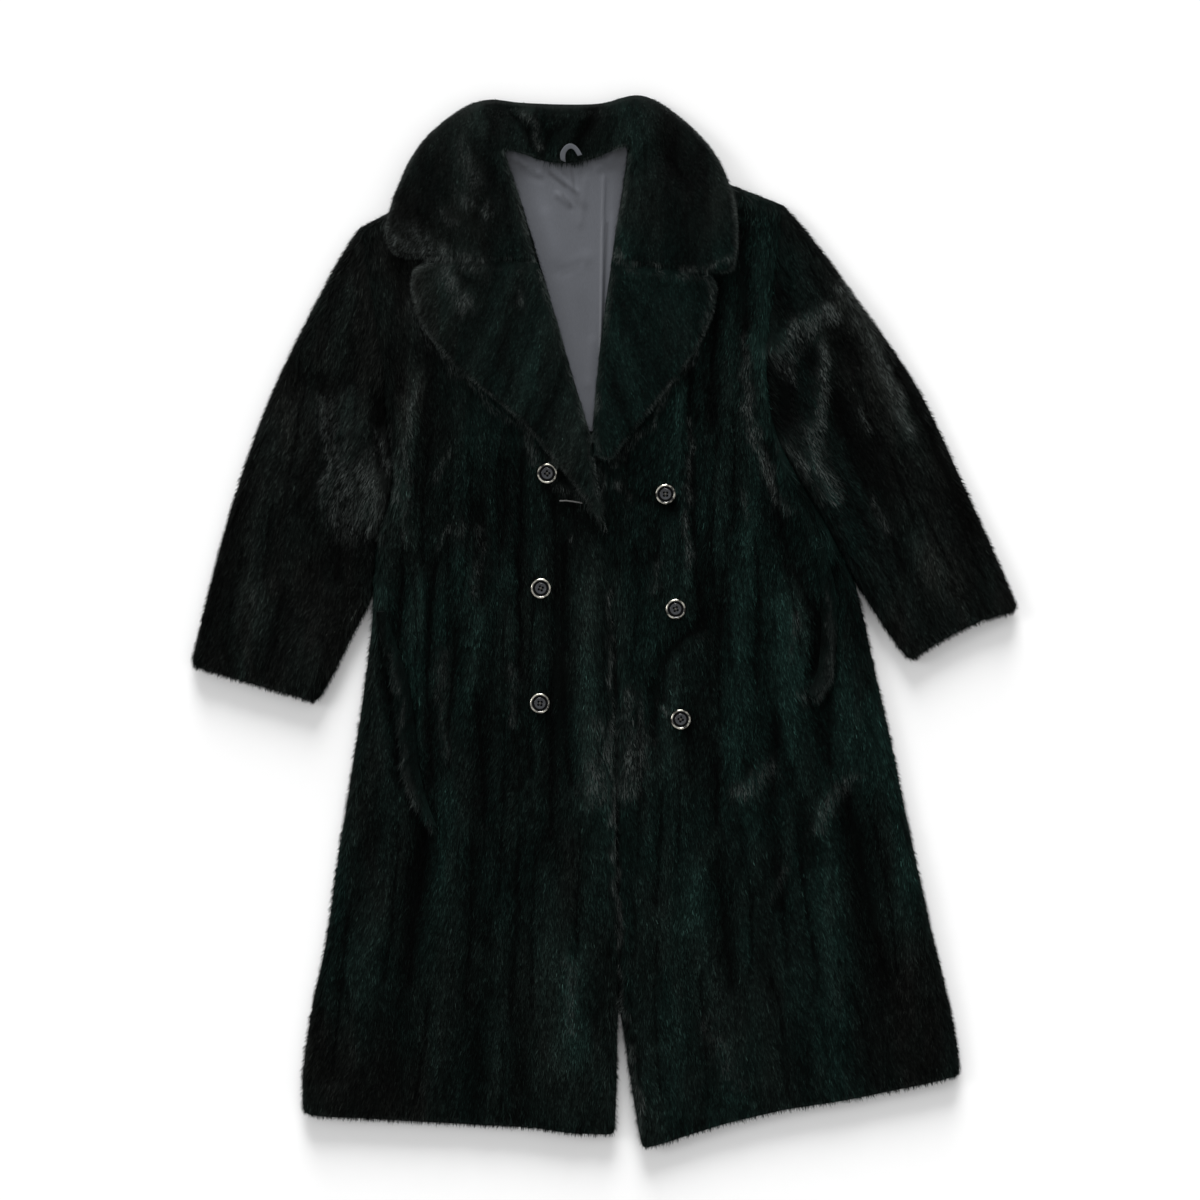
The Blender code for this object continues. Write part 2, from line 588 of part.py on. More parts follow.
def flat_tube(mesh, layout, rise, across, step, corners):
    """A sleeve pressed flat: an outer skin and, a wall's thickness inside it, a flat slot that
    is open at both ends."""
    middle = SLEEVE_TOP / 2
    skins = {"outer": ([], []), "slot": ([], [])}
    for travelled in layout.stops(step, HEM_ROUND, HEM_ROUND, EDGE_STEPS):
        section = layout.section(travelled)
        width = layout.width(travelled)
        from_end = min(travelled, layout.length - travelled)
        end_fill = CUFF_SHARE + (1 - CUFF_SHARE) * rounded(from_end, HEM_ROUND)
        opened = eased(travelled / layout.length, SLOT_OPENS_AT, 1.0)
        slot_height = SLOT_HALF_HEIGHT + (CUFF_SLOT_HALF_HEIGHT - SLOT_HALF_HEIGHT) * opened
        for skin, inset in (("outer", 0.0), ("slot", FUR_WALL)):
            upper_row, lower_row = [], []
            for distance in spaced(width - 2 * inset, across, section[4], section[5], EDGE_STEPS):
                fill = min(rounded(distance, section[4]), rounded(width - 2 * inset - distance, section[5]))
                over, onward = corner_place(layout, distance + inset, travelled, width, corners)
                x, y = layout.point(onward, over / layout.width(onward))
                if skin == "outer":
                    up, down = (SLEEVE_TOP - middle + rise(x, y)) * end_fill * fill, -middle * end_fill * fill
                else:
                    up, down = slot_height * fill, -slot_height * fill
                upper = mesh.verts.new((x * MM, y * MM, (middle + up) * MM))
                upper_row.append(upper)
                if fill < 1e-6:
                    lower_row.append(upper)
                else:
                    lower_row.append(mesh.verts.new((x * MM, y * MM, (middle + down) * MM)))
            skins[skin][0].append(upper_row)
            skins[skin][1].append(lower_row)
    outer, slot = skins["outer"], skins["slot"]
    skin_grid(mesh, *outer)
    skin_grid(mesh, slot[1], slot[0])
    for side in (0, 1):
        for end in (0, -1):
            rim, mouth = outer[side][end], slot[side][end]
            for j in range(len(rim) - 1):
                link(mesh, rim[j], rim[j + 1], mouth[j + 1], mouth[j])


def finish(mesh, name, look, collection):
    """Turns a bmesh into a named object with outward faces."""
    bmesh.ops.remove_doubles(mesh, verts=mesh.verts, dist=1e-6)
    bmesh.ops.triangulate(mesh, faces=mesh.faces)
    bmesh.ops.recalc_face_normals(mesh, faces=mesh.faces)
    if mesh.calc_volume(signed=True) < 0:
        bmesh.ops.reverse_faces(mesh, faces=mesh.faces)
    data = bpy.data.meshes.new(name)
    mesh.to_mesh(data)
    mesh.free()
    data.shade_smooth()
    data.materials.append(look)
    made = bpy.data.objects.new(name, data)
    collection.objects.link(made)
    return made


class Support:
    """Finds how high the finished pieces reach under a place."""

    TURNS = [2 * math.pi * k / 16 for k in range(16)]
    NEAR = (0.0, 0.5, 1.0)  # shares of the reach where it looks
    FAR = [k / 8 for k in range(1, 8)]  # shares of the fade where it looks

    def __init__(self, *pieces):
        self.trees = []
        for piece in pieces:
            mesh = bmesh.new()
            mesh.from_mesh(piece.data)
            self.trees.append(BVHTree.FromBMesh(mesh))
            mesh.free()

    def highest(self, x, y, radius):
        """The highest point on a circle, in millimetres."""
        best = 0.0
        for turn in self.TURNS if radius else (0.0,):
            at = Vector((x + radius * math.cos(turn), y + radius * math.sin(turn), 1 / MM)) * MM
            for tree in self.trees:
                hit = tree.ray_cast(at, Vector((0, 0, -1)))[0]
                if hit is not None:
                    best = max(best, hit.z / MM)
        return best

    def top(self, x, y, reach, fade=0.0):
        """The highest point within reach; past that it sinks to zero over the fade."""
        found = [self.highest(x, y, reach * share) for share in self.NEAR]
        if fade:
            found += [self.highest(x, y, reach + fade * k) * (1 - eased(k, 0, 1)) for k in self.FAR]
        return max(found)


def build_back(collection, look):
    """The whole back: two halves of sections joined along the middle, open at the vent."""
    neck_right = ((0, 0), (0.686, 38.5), (0.79, 25), (0.9, 9), (1, 0))
    neck_left = ((0, 0), (0.1, 8), (0.2, 23), (0.291, 35), (1, 0))
    hem_left = ((0, -18), (0.25, -4), (0.45, 1), (1, 0))
    mesh = bmesh.new()
    for half, is_right in ((RIGHT_HALF, True), (LEFT_HALF, False)):
        rows = []
        for s in half:
            side, middle = (s.side_x, s.side_y), (s.back_x, s.back_y)
            ends = (*side, *middle) if is_right else (*middle, *side)
            rows.append((*ends, s.side_round))
        wave = neck_right if is_right else neck_left
        layout = Layout(rows, () if is_right else hem_left, wave, measured_at=1.0 if is_right else 0.0)

        def edges(section, is_right=is_right):
            side = (section[4], 1.0)
            return (side, HEM) if is_right else (HEM, side)

        wall(
            mesh, layout, lambda x, y, share, section: (0.0, BACK_TOP), across=8, step=60, edges=edges,
            ends=(HEM, (HEM_ROUND, 0.9)), corners=(18, 8, 0, 0) if is_right else (8, 16, 0, 0),
            vent_side=1 if is_right else 0,
        )
    return finish(mesh, "back", look, collection)


def build_front(collection, look, name, half, folds, wave, corners):
    """A front, from the side seam to its free edge and the roll of its lapel."""
    is_right = name == "front_right"
    rows = []
    for s in half:
        side, inner = (s.side_x, s.side_y), (s.front_x, s.front_y)
        ends = (*side, *inner) if is_right else (*inner, *side)
        rows.append((*ends, s.side_round, s.front_round, s.front_level))
    field = FoldField(folds)
    seats = [(b.x, b.y, field.height(b.x, b.y)) for b in BUTTONS]

    def heights(x, y, share, section):
        rise = field.height(x, y)
        for seat_x, seat_y, seat_rise in seats:
            away = eased(math.hypot(x - seat_x, y - seat_y), BUTTON_SEAT, BUTTON_SEAT_BLEND)
            rise = seat_rise + (rise - seat_rise) * away
        lift = min(max(rise * 0.5, 0.0), LARGEST_LIFT) * min(1.0, 8 * share * (1 - share))
        return FRONT_LOW + lift, FRONT_TOP + rise

    def edges(section):
        side, inner = (section[4], 0.0), (section[5], section[6])
        return (side, inner) if is_right else (inner, side)

    mesh = bmesh.new()
    layout = Layout(rows, start_wave=wave)
    wall(mesh, layout, heights, across=22, step=60, edges=edges, ends=(HEM, (FUR_WALL, 0.0)), corners=corners)
    return finish(mesh, name, look, collection)


def build_sleeve(collection, look, name, table, folds, wave, corners):
    field = FoldField(folds)
    mesh = bmesh.new()
    flat_tube(mesh, Layout(table, end_wave=wave), field.height, across=9, step=90, corners=corners)
    return finish(mesh, name, look, collection)


def build_collar(collection, look, support):
    """The collar: two leaves turned over on the fronts, and the stand behind the neck."""
    field = FoldField(COLLAR_FOLDS)

    def edges(section):
        return (section[6], section[8]), (section[7], section[9])

    def heights(x, y, share, section):
        low = support.top(x, y, COLLAR_REACH, COLLAR_FADE)
        low += min(low, SEAM_GAP)
        inner, outer = section[4:6]
        crown = COLLAR_CROWN * math.sin(math.pi * share)
        return low, max(inner + (outer - inner) * share + crown + field.height(x, y), low + LEAST_FUR)

    mesh = bmesh.new()
    wall(
        mesh, Layout(COLLAR), heights, across=7, step=26, edges=edges, ends=((6, 0.3), (6, 0.3)),
        corners=(0, 18, 0, 16),
    )
    return finish(mesh, "collar", look, collection)


def build_lapel(collection, look, name, table, support, corners):
    """The top of a front, turned over on it along the roll."""

    def edges(section):
        return (section[5], section[7]), (section[6], section[8])

    def heights(x, y, share, section):
        low = support.top(x, y, LAPEL_REACH) + SEAM_GAP
        return low, max(section[4] + LAPEL_CROWN * math.sin(math.pi * share), low + LEAST_FUR)

    mesh = bmesh.new()
    ends = ((5, 0.3), (6, 0.3))
    wall(mesh, Layout(table), heights, across=7, step=36, edges=edges, ends=ends, corners=corners)
    return finish(mesh, name, look, collection)


def build_lining(collection, look):
    field = FoldField(LINING_FOLDS)

    def heights(x, y, share, section):
        rise = max(field.height(x, y), -LINING_WALL / 3)
        return FRONT_LOW, FRONT_LOW + LINING_WALL + rise * min(1.0, 8 * share * (1 - share))

    neckline = ((0, 0), (0.2, -3), (0.45, -9), (0.6, -9), (0.85, -3), (1, 0))
    rims = ((LINING_WALL / 2, 0.5), (LINING_WALL / 2, 0.5))
    mesh = bmesh.new()
    wall(
        mesh, Layout(LINING, end_wave=neckline), heights, across=8, step=30, edges=lambda section: rims,
        ends=rims, thin=True,
    )
    return finish(mesh, "lining", look, collection)


def build_strip(collection, look, name, table, support, thickness, step, reach):
    """A narrow piece that lies on the coat."""
    rims = ((thickness / 2, 0.3), (thickness / 2, 0.3))

    def heights(x, y, share, section):
        low = support.top(x, y, reach) + SEAM_GAP
        return low, low + thickness

    mesh = bmesh.new()
    wall(
        mesh, Layout(table), heights, across=2, step=step, edges=lambda section: rims, ends=rims,
        thin=True,
    )
    return finish(mesh, name, look, collection)


def button_mesh():
    """The half outline that the Screw modifier turns into a button."""
    data = bpy.data.meshes.new("button_profile")
    points = [(radius * MM, 0, height * MM) for radius, height in BUTTON_PROFILE]
    data.from_pydata(points, [(k, k + 1) for k in range(len(points) - 1)], [])
    return data


def hole_cutter():
    """Four upright pins, one for each thread hole."""
    mesh = bmesh.new()
    for k in range(4):
        turn = math.pi / 4 + k * math.pi / 2
        made = bmesh.ops.create_cone(
            mesh, cap_ends=True, segments=6, radius1=BUTTON_HOLE_RADIUS * MM,
            radius2=BUTTON_HOLE_RADIUS * MM, depth=PIN_LENGTH * MM,
        )
        shift = Vector((math.cos(turn), math.sin(turn), 0)) * BUTTON_HOLE_CENTRE * MM
        bmesh.ops.translate(mesh, vec=shift, verts=made["verts"])
    data = bpy.data.meshes.new("button_holes")
    mesh.to_mesh(data)
    mesh.free()
    return data


def build_buttons(collection, cutters, look, support):
    profile, holes = button_mesh(), hole_cutter()
    profile.materials.append(look)
    for button in BUTTONS:
        rest = support.top(button.x, button.y, BUTTON_RADIUS) + SEAM_GAP
        place = (button.x * MM, button.y * MM, rest * MM)
        pins = bpy.data.objects.new(button.name + "_pins", holes)
        pins.location = place
        pins.hide_render = True
        pins.display_type = "WIRE"
        cutters.objects.link(pins)
        made = bpy.data.objects.new(button.name, profile)
        made.location = place
        collection.objects.link(made)
        turned = made.modifiers.new("turned", "SCREW")
        turned.steps = turned.render_steps = BUTTON_TURNS
        turned.use_merge_vertices = True
        turned.merge_threshold = 0.0001
        turned.use_smooth_shade = True
        drilled = made.modifiers.new("drilled", "BOOLEAN")
        drilled.object = pins
        drilled.operation = "DIFFERENCE"


def build_hook_eye(collection, look, support):
    """The thread-covered eye of the front hook, lying on the right front."""
    curve = bpy.data.curves.new("hook_eye", "CURVE")
    curve.dimensions = "3D"
    curve.bevel_depth = HOOK_EYE_RADIUS * MM
    curve.bevel_resolution = 1
    curve.use_fill_caps = True
    line = curve.splines.new("POLY")
    line.points.add(len(HOOK_EYE) - 1)
    rest = max(support.top(x, y, HOOK_REACH) for x, y in HOOK_EYE) + SEAM_GAP + HOOK_EYE_RADIUS
    for point, (x, y) in zip(line.points, HOOK_EYE):
        point.co = (x * MM, y * MM, rest * MM, 1.0)
    curve.materials.append(look)
    made = bpy.data.objects.new("hook_eye", curve)
    collection.objects.link(made)


def main():
    clear_scene()
    coat, cutters = new_collection("fur_coat"), new_collection("cutters")
    fur, sleeve_fur = material("body_fur", FUR), material("sleeve_fur", SLEEVE_FUR)
    satin, horn, wire = material("satin", SATIN), material("horn", HORN), material("wire", WIRE)

    back = build_back(coat, fur)
    hem_right = ((0, 0), (0.45, 4), (0.7, 5), (0.85, -1), (1, 0))
    hem_left = ((0, 0), (0.25, 9), (0.45, 9), (0.65, 3), (1, 0))
    front_right = build_front(
        coat, fur, "front_right", RIGHT_HALF, RIGHT_FRONT_FOLDS, wave=hem_right, corners=(20, 9, 0, 0)
    )
    front_left = build_front(
        coat, fur, "front_left", LEFT_HALF, LEFT_FRONT_FOLDS, wave=hem_left, corners=(10, 18, 0, 0)
    )
    cuff_left = ((0, 0), (0.35, 9), (0.7, 8), (1, 0))
    cuffs = (0, 0, 12, 15)
    build_sleeve(coat, sleeve_fur, "sleeve_right", RIGHT_SLEEVE, RIGHT_SLEEVE_FOLDS, (), cuffs)
    build_sleeve(coat, sleeve_fur, "sleeve_left", LEFT_SLEEVE, LEFT_SLEEVE_FOLDS, cuff_left, cuffs)
    lining = build_lining(coat, satin)

    body = Support(back, front_right, front_left, lining)
    fronts = Support(front_right, front_left)
    build_lapel(coat, fur, "lapel_right", RIGHT_LAPEL, fronts, (0, 0, 28, 0))
    build_lapel(coat, fur, "lapel_left", LEFT_LAPEL, fronts, (0, 0, 0, 15))
    collar = build_collar(coat, fur, body)
    neck = Support(collar, lining, back)
    build_strip(coat, satin, "hanger_loop", HANGER_LOOP, neck, LOOP_WALL, 6, LOOP_REACH)
    build_strip(coat, fur, "pocket_lip_right", RIGHT_POCKET_LIP, fronts, LIP_WALL, 24, LIP_REACH)
    build_strip(coat, fur, "pocket_lip_left", LEFT_POCKET_LIP, fronts, LIP_WALL, 24, LIP_REACH)
    build_buttons(coat, cutters, horn, fronts)
    build_hook_eye(coat, wire, fronts)


main()
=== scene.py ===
"""Looks of a full-length double-breasted fur coat that lies flat on its back, front side up.

Each fur piece is a pelt, which has the form of its solid drawn in by part of the pile, and a coat
of hairs that lie along its nap and reach the solid's own surface. Tables hold millimetres, on the
coat seen from above: +X across it, +Y towards the collar.
"""

import math
from collections import namedtuple

import bmesh
import bpy
import numpy as np
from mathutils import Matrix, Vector
from mathutils.bvhtree import BVHTree


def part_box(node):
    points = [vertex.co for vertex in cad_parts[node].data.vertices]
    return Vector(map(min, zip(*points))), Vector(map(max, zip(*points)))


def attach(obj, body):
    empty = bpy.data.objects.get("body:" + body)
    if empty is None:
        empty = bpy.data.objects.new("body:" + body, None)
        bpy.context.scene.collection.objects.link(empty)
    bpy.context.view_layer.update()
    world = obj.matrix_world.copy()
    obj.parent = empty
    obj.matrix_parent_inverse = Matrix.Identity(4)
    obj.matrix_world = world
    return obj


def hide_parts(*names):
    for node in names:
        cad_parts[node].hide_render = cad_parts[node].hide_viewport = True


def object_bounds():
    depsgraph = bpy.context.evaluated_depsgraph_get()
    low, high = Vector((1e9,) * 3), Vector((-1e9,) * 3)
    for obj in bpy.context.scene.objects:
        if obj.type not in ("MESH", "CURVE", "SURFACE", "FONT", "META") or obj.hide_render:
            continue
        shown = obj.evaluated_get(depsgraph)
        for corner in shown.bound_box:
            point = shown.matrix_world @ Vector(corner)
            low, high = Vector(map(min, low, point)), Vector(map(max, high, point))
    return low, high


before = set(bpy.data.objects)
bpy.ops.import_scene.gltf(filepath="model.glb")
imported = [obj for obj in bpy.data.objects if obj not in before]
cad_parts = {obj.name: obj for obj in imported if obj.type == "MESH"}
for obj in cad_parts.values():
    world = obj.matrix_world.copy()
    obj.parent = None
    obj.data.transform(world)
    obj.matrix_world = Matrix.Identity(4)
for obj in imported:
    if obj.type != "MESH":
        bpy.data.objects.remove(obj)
CAD_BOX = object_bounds()

bl_info = {
    "name": "Fur coat",
    "version": (1, 0, 0),
    "blender": (4, 5, 0),
    "location": "View3D > Sidebar > Fur coat",
    "description": "Pelts, hairs, lining and buttons of a fur coat laid flat",
    "category": "Object",
}

MM = 0.001
BODY = "root"

# Marks are soft strokes on the coat, from a start to an end, bowed sideways at their middle.
Mark = namedtuple("Mark", "start_x start_y end_x end_y bow half_width strength")


def marks(*rows):
    """Marks from rows of a table: start x and y, end x and y, bow, half width, strength."""
    return [Mark(*row) for row in rows]


# The main folds of each piece: heights of ridges and depths of troughs in millimetres
FOLDS = {
    "front_right": marks(
        (-97, 200, -99, -60, -4, 10, -3.5),
        (-121, 195, -122, 90, 0, 7, -3.0),
        (-109, 150, -112, -40, 0, 8, 2.5),
        (-147, 130, -146, 25, 0, 9, -3.0),
        (-199, 75, -205, -190, -8, 9, -4.0),
        (-240, 112, -243, -10, 0, 9, -3.5),
        (-222, 290, -236, 95, -8, 10, 6.0),
        (-246, 262, -241, 178, 0, 7, 3.5),
        (-48, 95, -42, -190, -5, 13, -4.0),
        (-17, 50, -20, -210, 0, 14, 2.5),
        (-152, -90, -141, -240, 0, 10, -3.5),
        (-177, -5, -187, -170, 0, 9, -3.0),
        (-131, 60, -163, -95, 0, 10, 2.5),
        (-170, 85, -168, -20, 0, 10, 3.0),
        (-218, 50, -222, -95, 0, 12, 3.0),
        (-212, -232, -233, -425, 0, 15, -4.0),
        (-62, -70, -63, -250, 0, 11, -3.0),
        (-188, -195, -200, -335, 0, 12, 2.5),
        (-262, -250, -292, -520, 0, 20, 1.5),
        (-100, -260, -113, -475, 0, 15, -3.5),
        (-40, -380, -42, -525, 0, 20, 3.0),
        (-258, -30, -243, -190, 0, 10, -3.0),
    ),
    "front_left": marks(
        (157, 470, 164, 318, 3, 9, -5.0),
        (132, 400, 126, 228, 0, 8, -4.0),
        (100, 300, 115, -10, -4, 9, -5.0),
        (114, -5, 60, -84, -16, 9, -5.0),
        (60, -82, 56, -140, 0, 9, -3.0),
        (90, 280, 101, 50, -3, 8, 4.0),
        (28, 152, 80, 137, 0, 7, -3.0),
        (22, 212, 28, 156, 0, 7, -3.0),
        (170, 335, 213, 135, 16, 10, 6.0),
        (190, 212, 240, 25, -8, 8, -4.0),
        (211, 178, 262, 75, -3, 8, 3.0),
        (273, 70, 266, -165, -6, 8, -4.0),
        (285, -195, 332, -425, 0, 13, -5.0),
        (130, -165, 132, -240, 0, 10, -3.0),
        (200, -120, 198, -205, 0, 9, -3.0),
        (132, -285, 150, -430, 0, 14, -4.0),
        (66, -200, 60, -330, 0, 13, -3.0),
        (112, -285, 98, -365, 0, 13, 3.0),
        (192, -170, 162, -207, 0, 10, 3.0),
        (278, -188, 250, -247, 0, 10, 3.5),
        (170, 100, 160, -150, 0, 17, 3.0),
        (205, 20, 216, -150, 0, 14, 3.0),
        (346, -250, 382, -430, 0, 18, 2.0),
        (205, -285, 215, -400, 0, 13, -3.0),
        (258, -300, 275, -470, 0, 18, 2.0),
        (245, 22, 244, -58, 10, 10, -4.5),
        (226, 25, 232, -70, 4, 8, 3.0),
    ),
    "sleeve_right": marks(
        (-338, 290, -318, 50, 14, 9, -5.0),
        (-268, 268, -261, 185, 0, 10, -6.0),
        (-302, 255, -274, 130, 0, 20, 6.0),
        (-304, 114, -276, 98, 0, 9, -4.0),
        (-380, 250, -420, 0, 4, 26, 5.0),
        (-395, 135, -400, 55, 0, 11, -3.0),
        (-425, -5, -430, -62, 0, 9, 2.5),
        (-340, -10, -350, -70, 0, 16, 3.0),
        (-300, 400, -330, 310, 0, 22, 4.0),
    ),
    "sleeve_left": marks(
        (200, 322, 270, 370, 6, 10, 6.0),
        (208, 302, 212, 240, 0, 13, -6.5),
        (255, 335, 248, 236, 7, 9, 4.5),
        (243, 226, 266, 148, -4, 10, 4.0),
        (274, 258, 318, 132, -3, 10, -4.0),
        (330, 118, 353, 64, 0, 9, -3.0),
        (282, 398, 355, 226, 8, 11, 5.0),
        (332, 318, 430, 112, 5, 16, -4.5),
        (300, 290, 392, 60, 0, 20, 4.0),
        (452, 60, 462, 22, 0, 14, 2.5),
    ),
    "collar": marks(
        (-112, 606, -84, 560, 3, 9, -4.0),
        (-13, 606, -32, 560, -3, 9, -4.0),
        (-150, 590, -128, 552, 0, 14, 3.0),
        (45, 600, 34, 560, 0, 14, 3.0),
        (-222, 475, -210, 440, 0, 11, -3.0),
        (70, 555, 95, 520, 0, 14, -2.5),
    ),
}

# Fine creases and ridges between the main folds, as heights in millimetres
CREASES = marks(
    (-62, 150, -60, -90, 2, 4, -1.6),
    (-84, 60, -88, -180, -3, 4, -1.4),
    (-132, 180, -128, 60, 3, 4, -1.6),
    (-160, 200, -172, 20, 4, 4, -1.8),
    (-186, 160, -192, -60, 3, 5, -1.8),
    (-208, 210, -215, 60, -4, 4, -1.6),
    (-228, 60, -226, -120, 4, 4, -1.5),
    (-120, -120, -128, -330, 4, 5, -1.6),
    (-80, -260, -86, -470, -4, 5, -1.5),
    (-158, -260, -168, -460, 5, 5, -1.6),
    (-246, -240, -262, -420, 5, 6, -1.8),
    (-30, -240, -34, -400, 0, 5, -1.3),
    (-210, -440, -226, -570, 3, 6, -1.6),
    (-120, -500, -126, -590, 0, 6, -1.3),
    (-300, -330, -320, -540, -4, 6, -1.5),
    (36, 90, 30, -60, 4, 4, -1.4),
    (60, 120, 66, 20, 0, 4, -1.3),
    (132, 220, 128, 40, -4, 4, -1.7),
    (150, 250, 150, 110, 3, 4, -1.6),
    (140, 60, 136, -120, -4, 4, -1.5),
    (178, 100, 176, -80, 4, 5, -1.6),
    (204, 110, 232, -40, 3, 4, -1.5),
    (40, -120, 36, -300, 3, 5, -1.4),
    (88, -180, 84, -300, 0, 5, -1.3),
    (160, -240, 172, -420, 5, 5, -1.6),
    (230, -250, 250, -400, -5, 6, -1.8),
    (310, -210, 346, -420, 5, 6, -1.6),
    (112, -420, 120, -560, 0, 6, -1.5),
    (196, -420, 216, -560, 4, 6, -1.5),
    (290, -430, 318, -550, 4, 6, -1.4),
    (60, -380, 66, -560, -3, 6, -1.2),
    (-355, 300, -385, 120, 4, 5, -1.5),
    (-320, 240, -350, 60, -4, 5, -1.6),
    (-430, 80, -450, -30, 0, 5, -1.2),
    (-380, 40, -402, -60, 3, 5, -1.4),
    (-300, 330, -296, 240, 4, 5, -1.8),
    (-345, 360, -372, 250, -3, 6, -1.3),
    (280, 330, 320, 200, 4, 5, -1.6),
    (308, 250, 372, 100, 4, 5, -1.6),
    (350, 200, 410, 60, -4, 5, -1.4),
    (300, 130, 350, 10, 3, 5, -1.4),
    (240, 420, 300, 300, 5, 6, -1.3),
    (400, 160, 448, 50, 3, 5, -1.2),
)

# Where the fur is pale: hairs that stand open and show their pale side, and painted sheen and highlights on
# folds, ridges and edges; strength 1 is fully pale
FROST_AND_SHEEN = marks(
    (-252, 456, -196, 434, 0, 9, 0.6),
    (-236, 470, -214, 452, 0, 9, 0.45),
    (-190, 430, -166, 380, -3, 11, 0.95),
    (-168, 432, -140, 418, 0, 7, 0.6),
    (-167, 503, -163, 497, 0, 6, 0.8),
    (-142, 493, -137, 487, 0, 6, 0.8),
    (-147, 430, -143, 424, 0, 5, 0.7),
    (-102, 388, -98, 382, 0, 4, 0.6),
    (-190, 486, -178, 470, 0, 5, 0.35),
    (-166, 560, -156, 520, 2, 10, 0.35),
    (-98, 604, -76, 562, 4, 4, 0.8),
    (-256, 500, -254, 440, -2, 4, 0.5),
    (142, 530, 152, 430, 6, 4, 0.7),
    (150, 432, 92, 412, 6, 4, 0.55),
    (18, 432, 26, 424, 0, 4, 0.6),
    (-228, 380, -196, 318, -5, 5, 0.6),
    (-200, 320, -98, 232, -3, 4.5, 0.56),
    (-104, 238, -6, 120, -4, 5.2, 0.52),
    (128, 400, 100, 305, 4, 4, 0.55),
    (102, 310, 6, 188, 3, 3.8, 0.49),
    (-14, 212, -2, 128, 3, 3.8, 0.45),
    (-42, 102, -44, 96, 0, 3, 0.56),
    (14, 164, 22, 158, 0, 4.5, 0.6),
    (66, -98, 71, -104, 0, 3.8, 0.64),
    (-335, 272, -331, 150, 5, 7, 0.55),
    (-312, 200, -296, 122, 3, 18, 0.55),
    (-284, 190, -272, 112, 0, 12, 0.85),
    (-328, 262, -300, 180, 0, 16, 0.3),
    (-322, 158, -314, 110, 0, 9, 0.5),
    (-262, 225, -250, 182, 0, 6, 0.55),
    (-222, 284, -232, 180, -7, 4.5, 0.49),
    (-234, 178, -236, 96, 0, 3.8, 0.38),
    (-246, 200, -247, 150, 0, 3.8, 0.45),
    (-185, 205, -200, 165, 0, 3.8, 0.38),
    (-172, 120, -196, 92, 0, 3, 0.34),
    (-150, 110, -156, 40, 0, 6, 0.26),
    (202, 316, 268, 368, 6, 9, 1),
    (236, 344, 262, 372, 0, 7, 0.8),
    (206, 322, 214, 300, 0, 6, 0.6),
    (221, 297, 222, 285, 0, 2, 1),
    (253, 326, 247, 236, 7, 6, 0.85),
    (243, 226, 268, 150, -4, 9, 0.8),
    (214, 214, 236, 176, 3, 6, 0.55),
    (276, 402, 322, 318, 5, 8, 0.7),
    (322, 318, 356, 224, 3, 8, 0.75),
    (378, 256, 454, 108, 4, 4, 0.7),
    (300, 264, 312, 230, 0, 4, 0.35),
    (316, 150, 330, 110, 0, 5, 0.4),
    (166, 338, 168, 268, 3, 5.2, 0.45),
    (168, 270, 180, 214, -3, 6, 0.71),
    (180, 216, 214, 134, -3, 6, 0.7),
    (100, 250, 100, 60, -3, 3.8, 0.38),
    (62, 70, 54, 42, 0, 4.5, 0.34),
    (164, 160, 163, 130, 0, 3, 0.3),
    (-264, -10, -244, -96, 3, 3, 0.35),
    (-242, -96, -236, -170, 0, 3.5, 0.4),
    (-232, -176, -206, -242, -4, 4, 0.38),
    (224, 12, 222, -40, 0, 3.8, 0.3),
    (262, 40, 262, -62, 3, 3, 0.35),
    (256, -66, 226, -90, 5, 6, 0.3),
    (26, -84, 33, -112, 0, 11, 0.62),
    (0, -125, -14, -198, 4, 17, 0.5),
    (38, -130, 28, -198, 0, 12, 0.6),
    (-40, -402, -41, -482, 0, 7.5, 0.34),
    (198, -168, 158, -204, 4, 8, 0.4),
    (284, -190, 250, -246, -3, 9, 0.34),
    (302, -176, 284, -186, 0, 4, 0.5),
    (214, -290, 196, -330, 0, 5.2, 0.22),
    (2, 34, 5, -10, 0, 2.5, 0.7),
    (5, -10, 6, -150, 0, 2.5, 0.6),
    (6, -150, 11, -285, 0, 2.5, 0.6),
    (11, -285, 18, -440, 0, 2.5, 0.55),
    (18, -440, 44, -606, 2, 3, 0.5),
    (-196, -30, -190, -150, 0, 6.8, 0.19),
    (-110, -40, -112, -120, 0, 4.5, 0.22),
    (120, -470, 150, -540, 0, 12, 0.19),
    (-420, 40, -400, 10, 0, 5, 0.25),
)
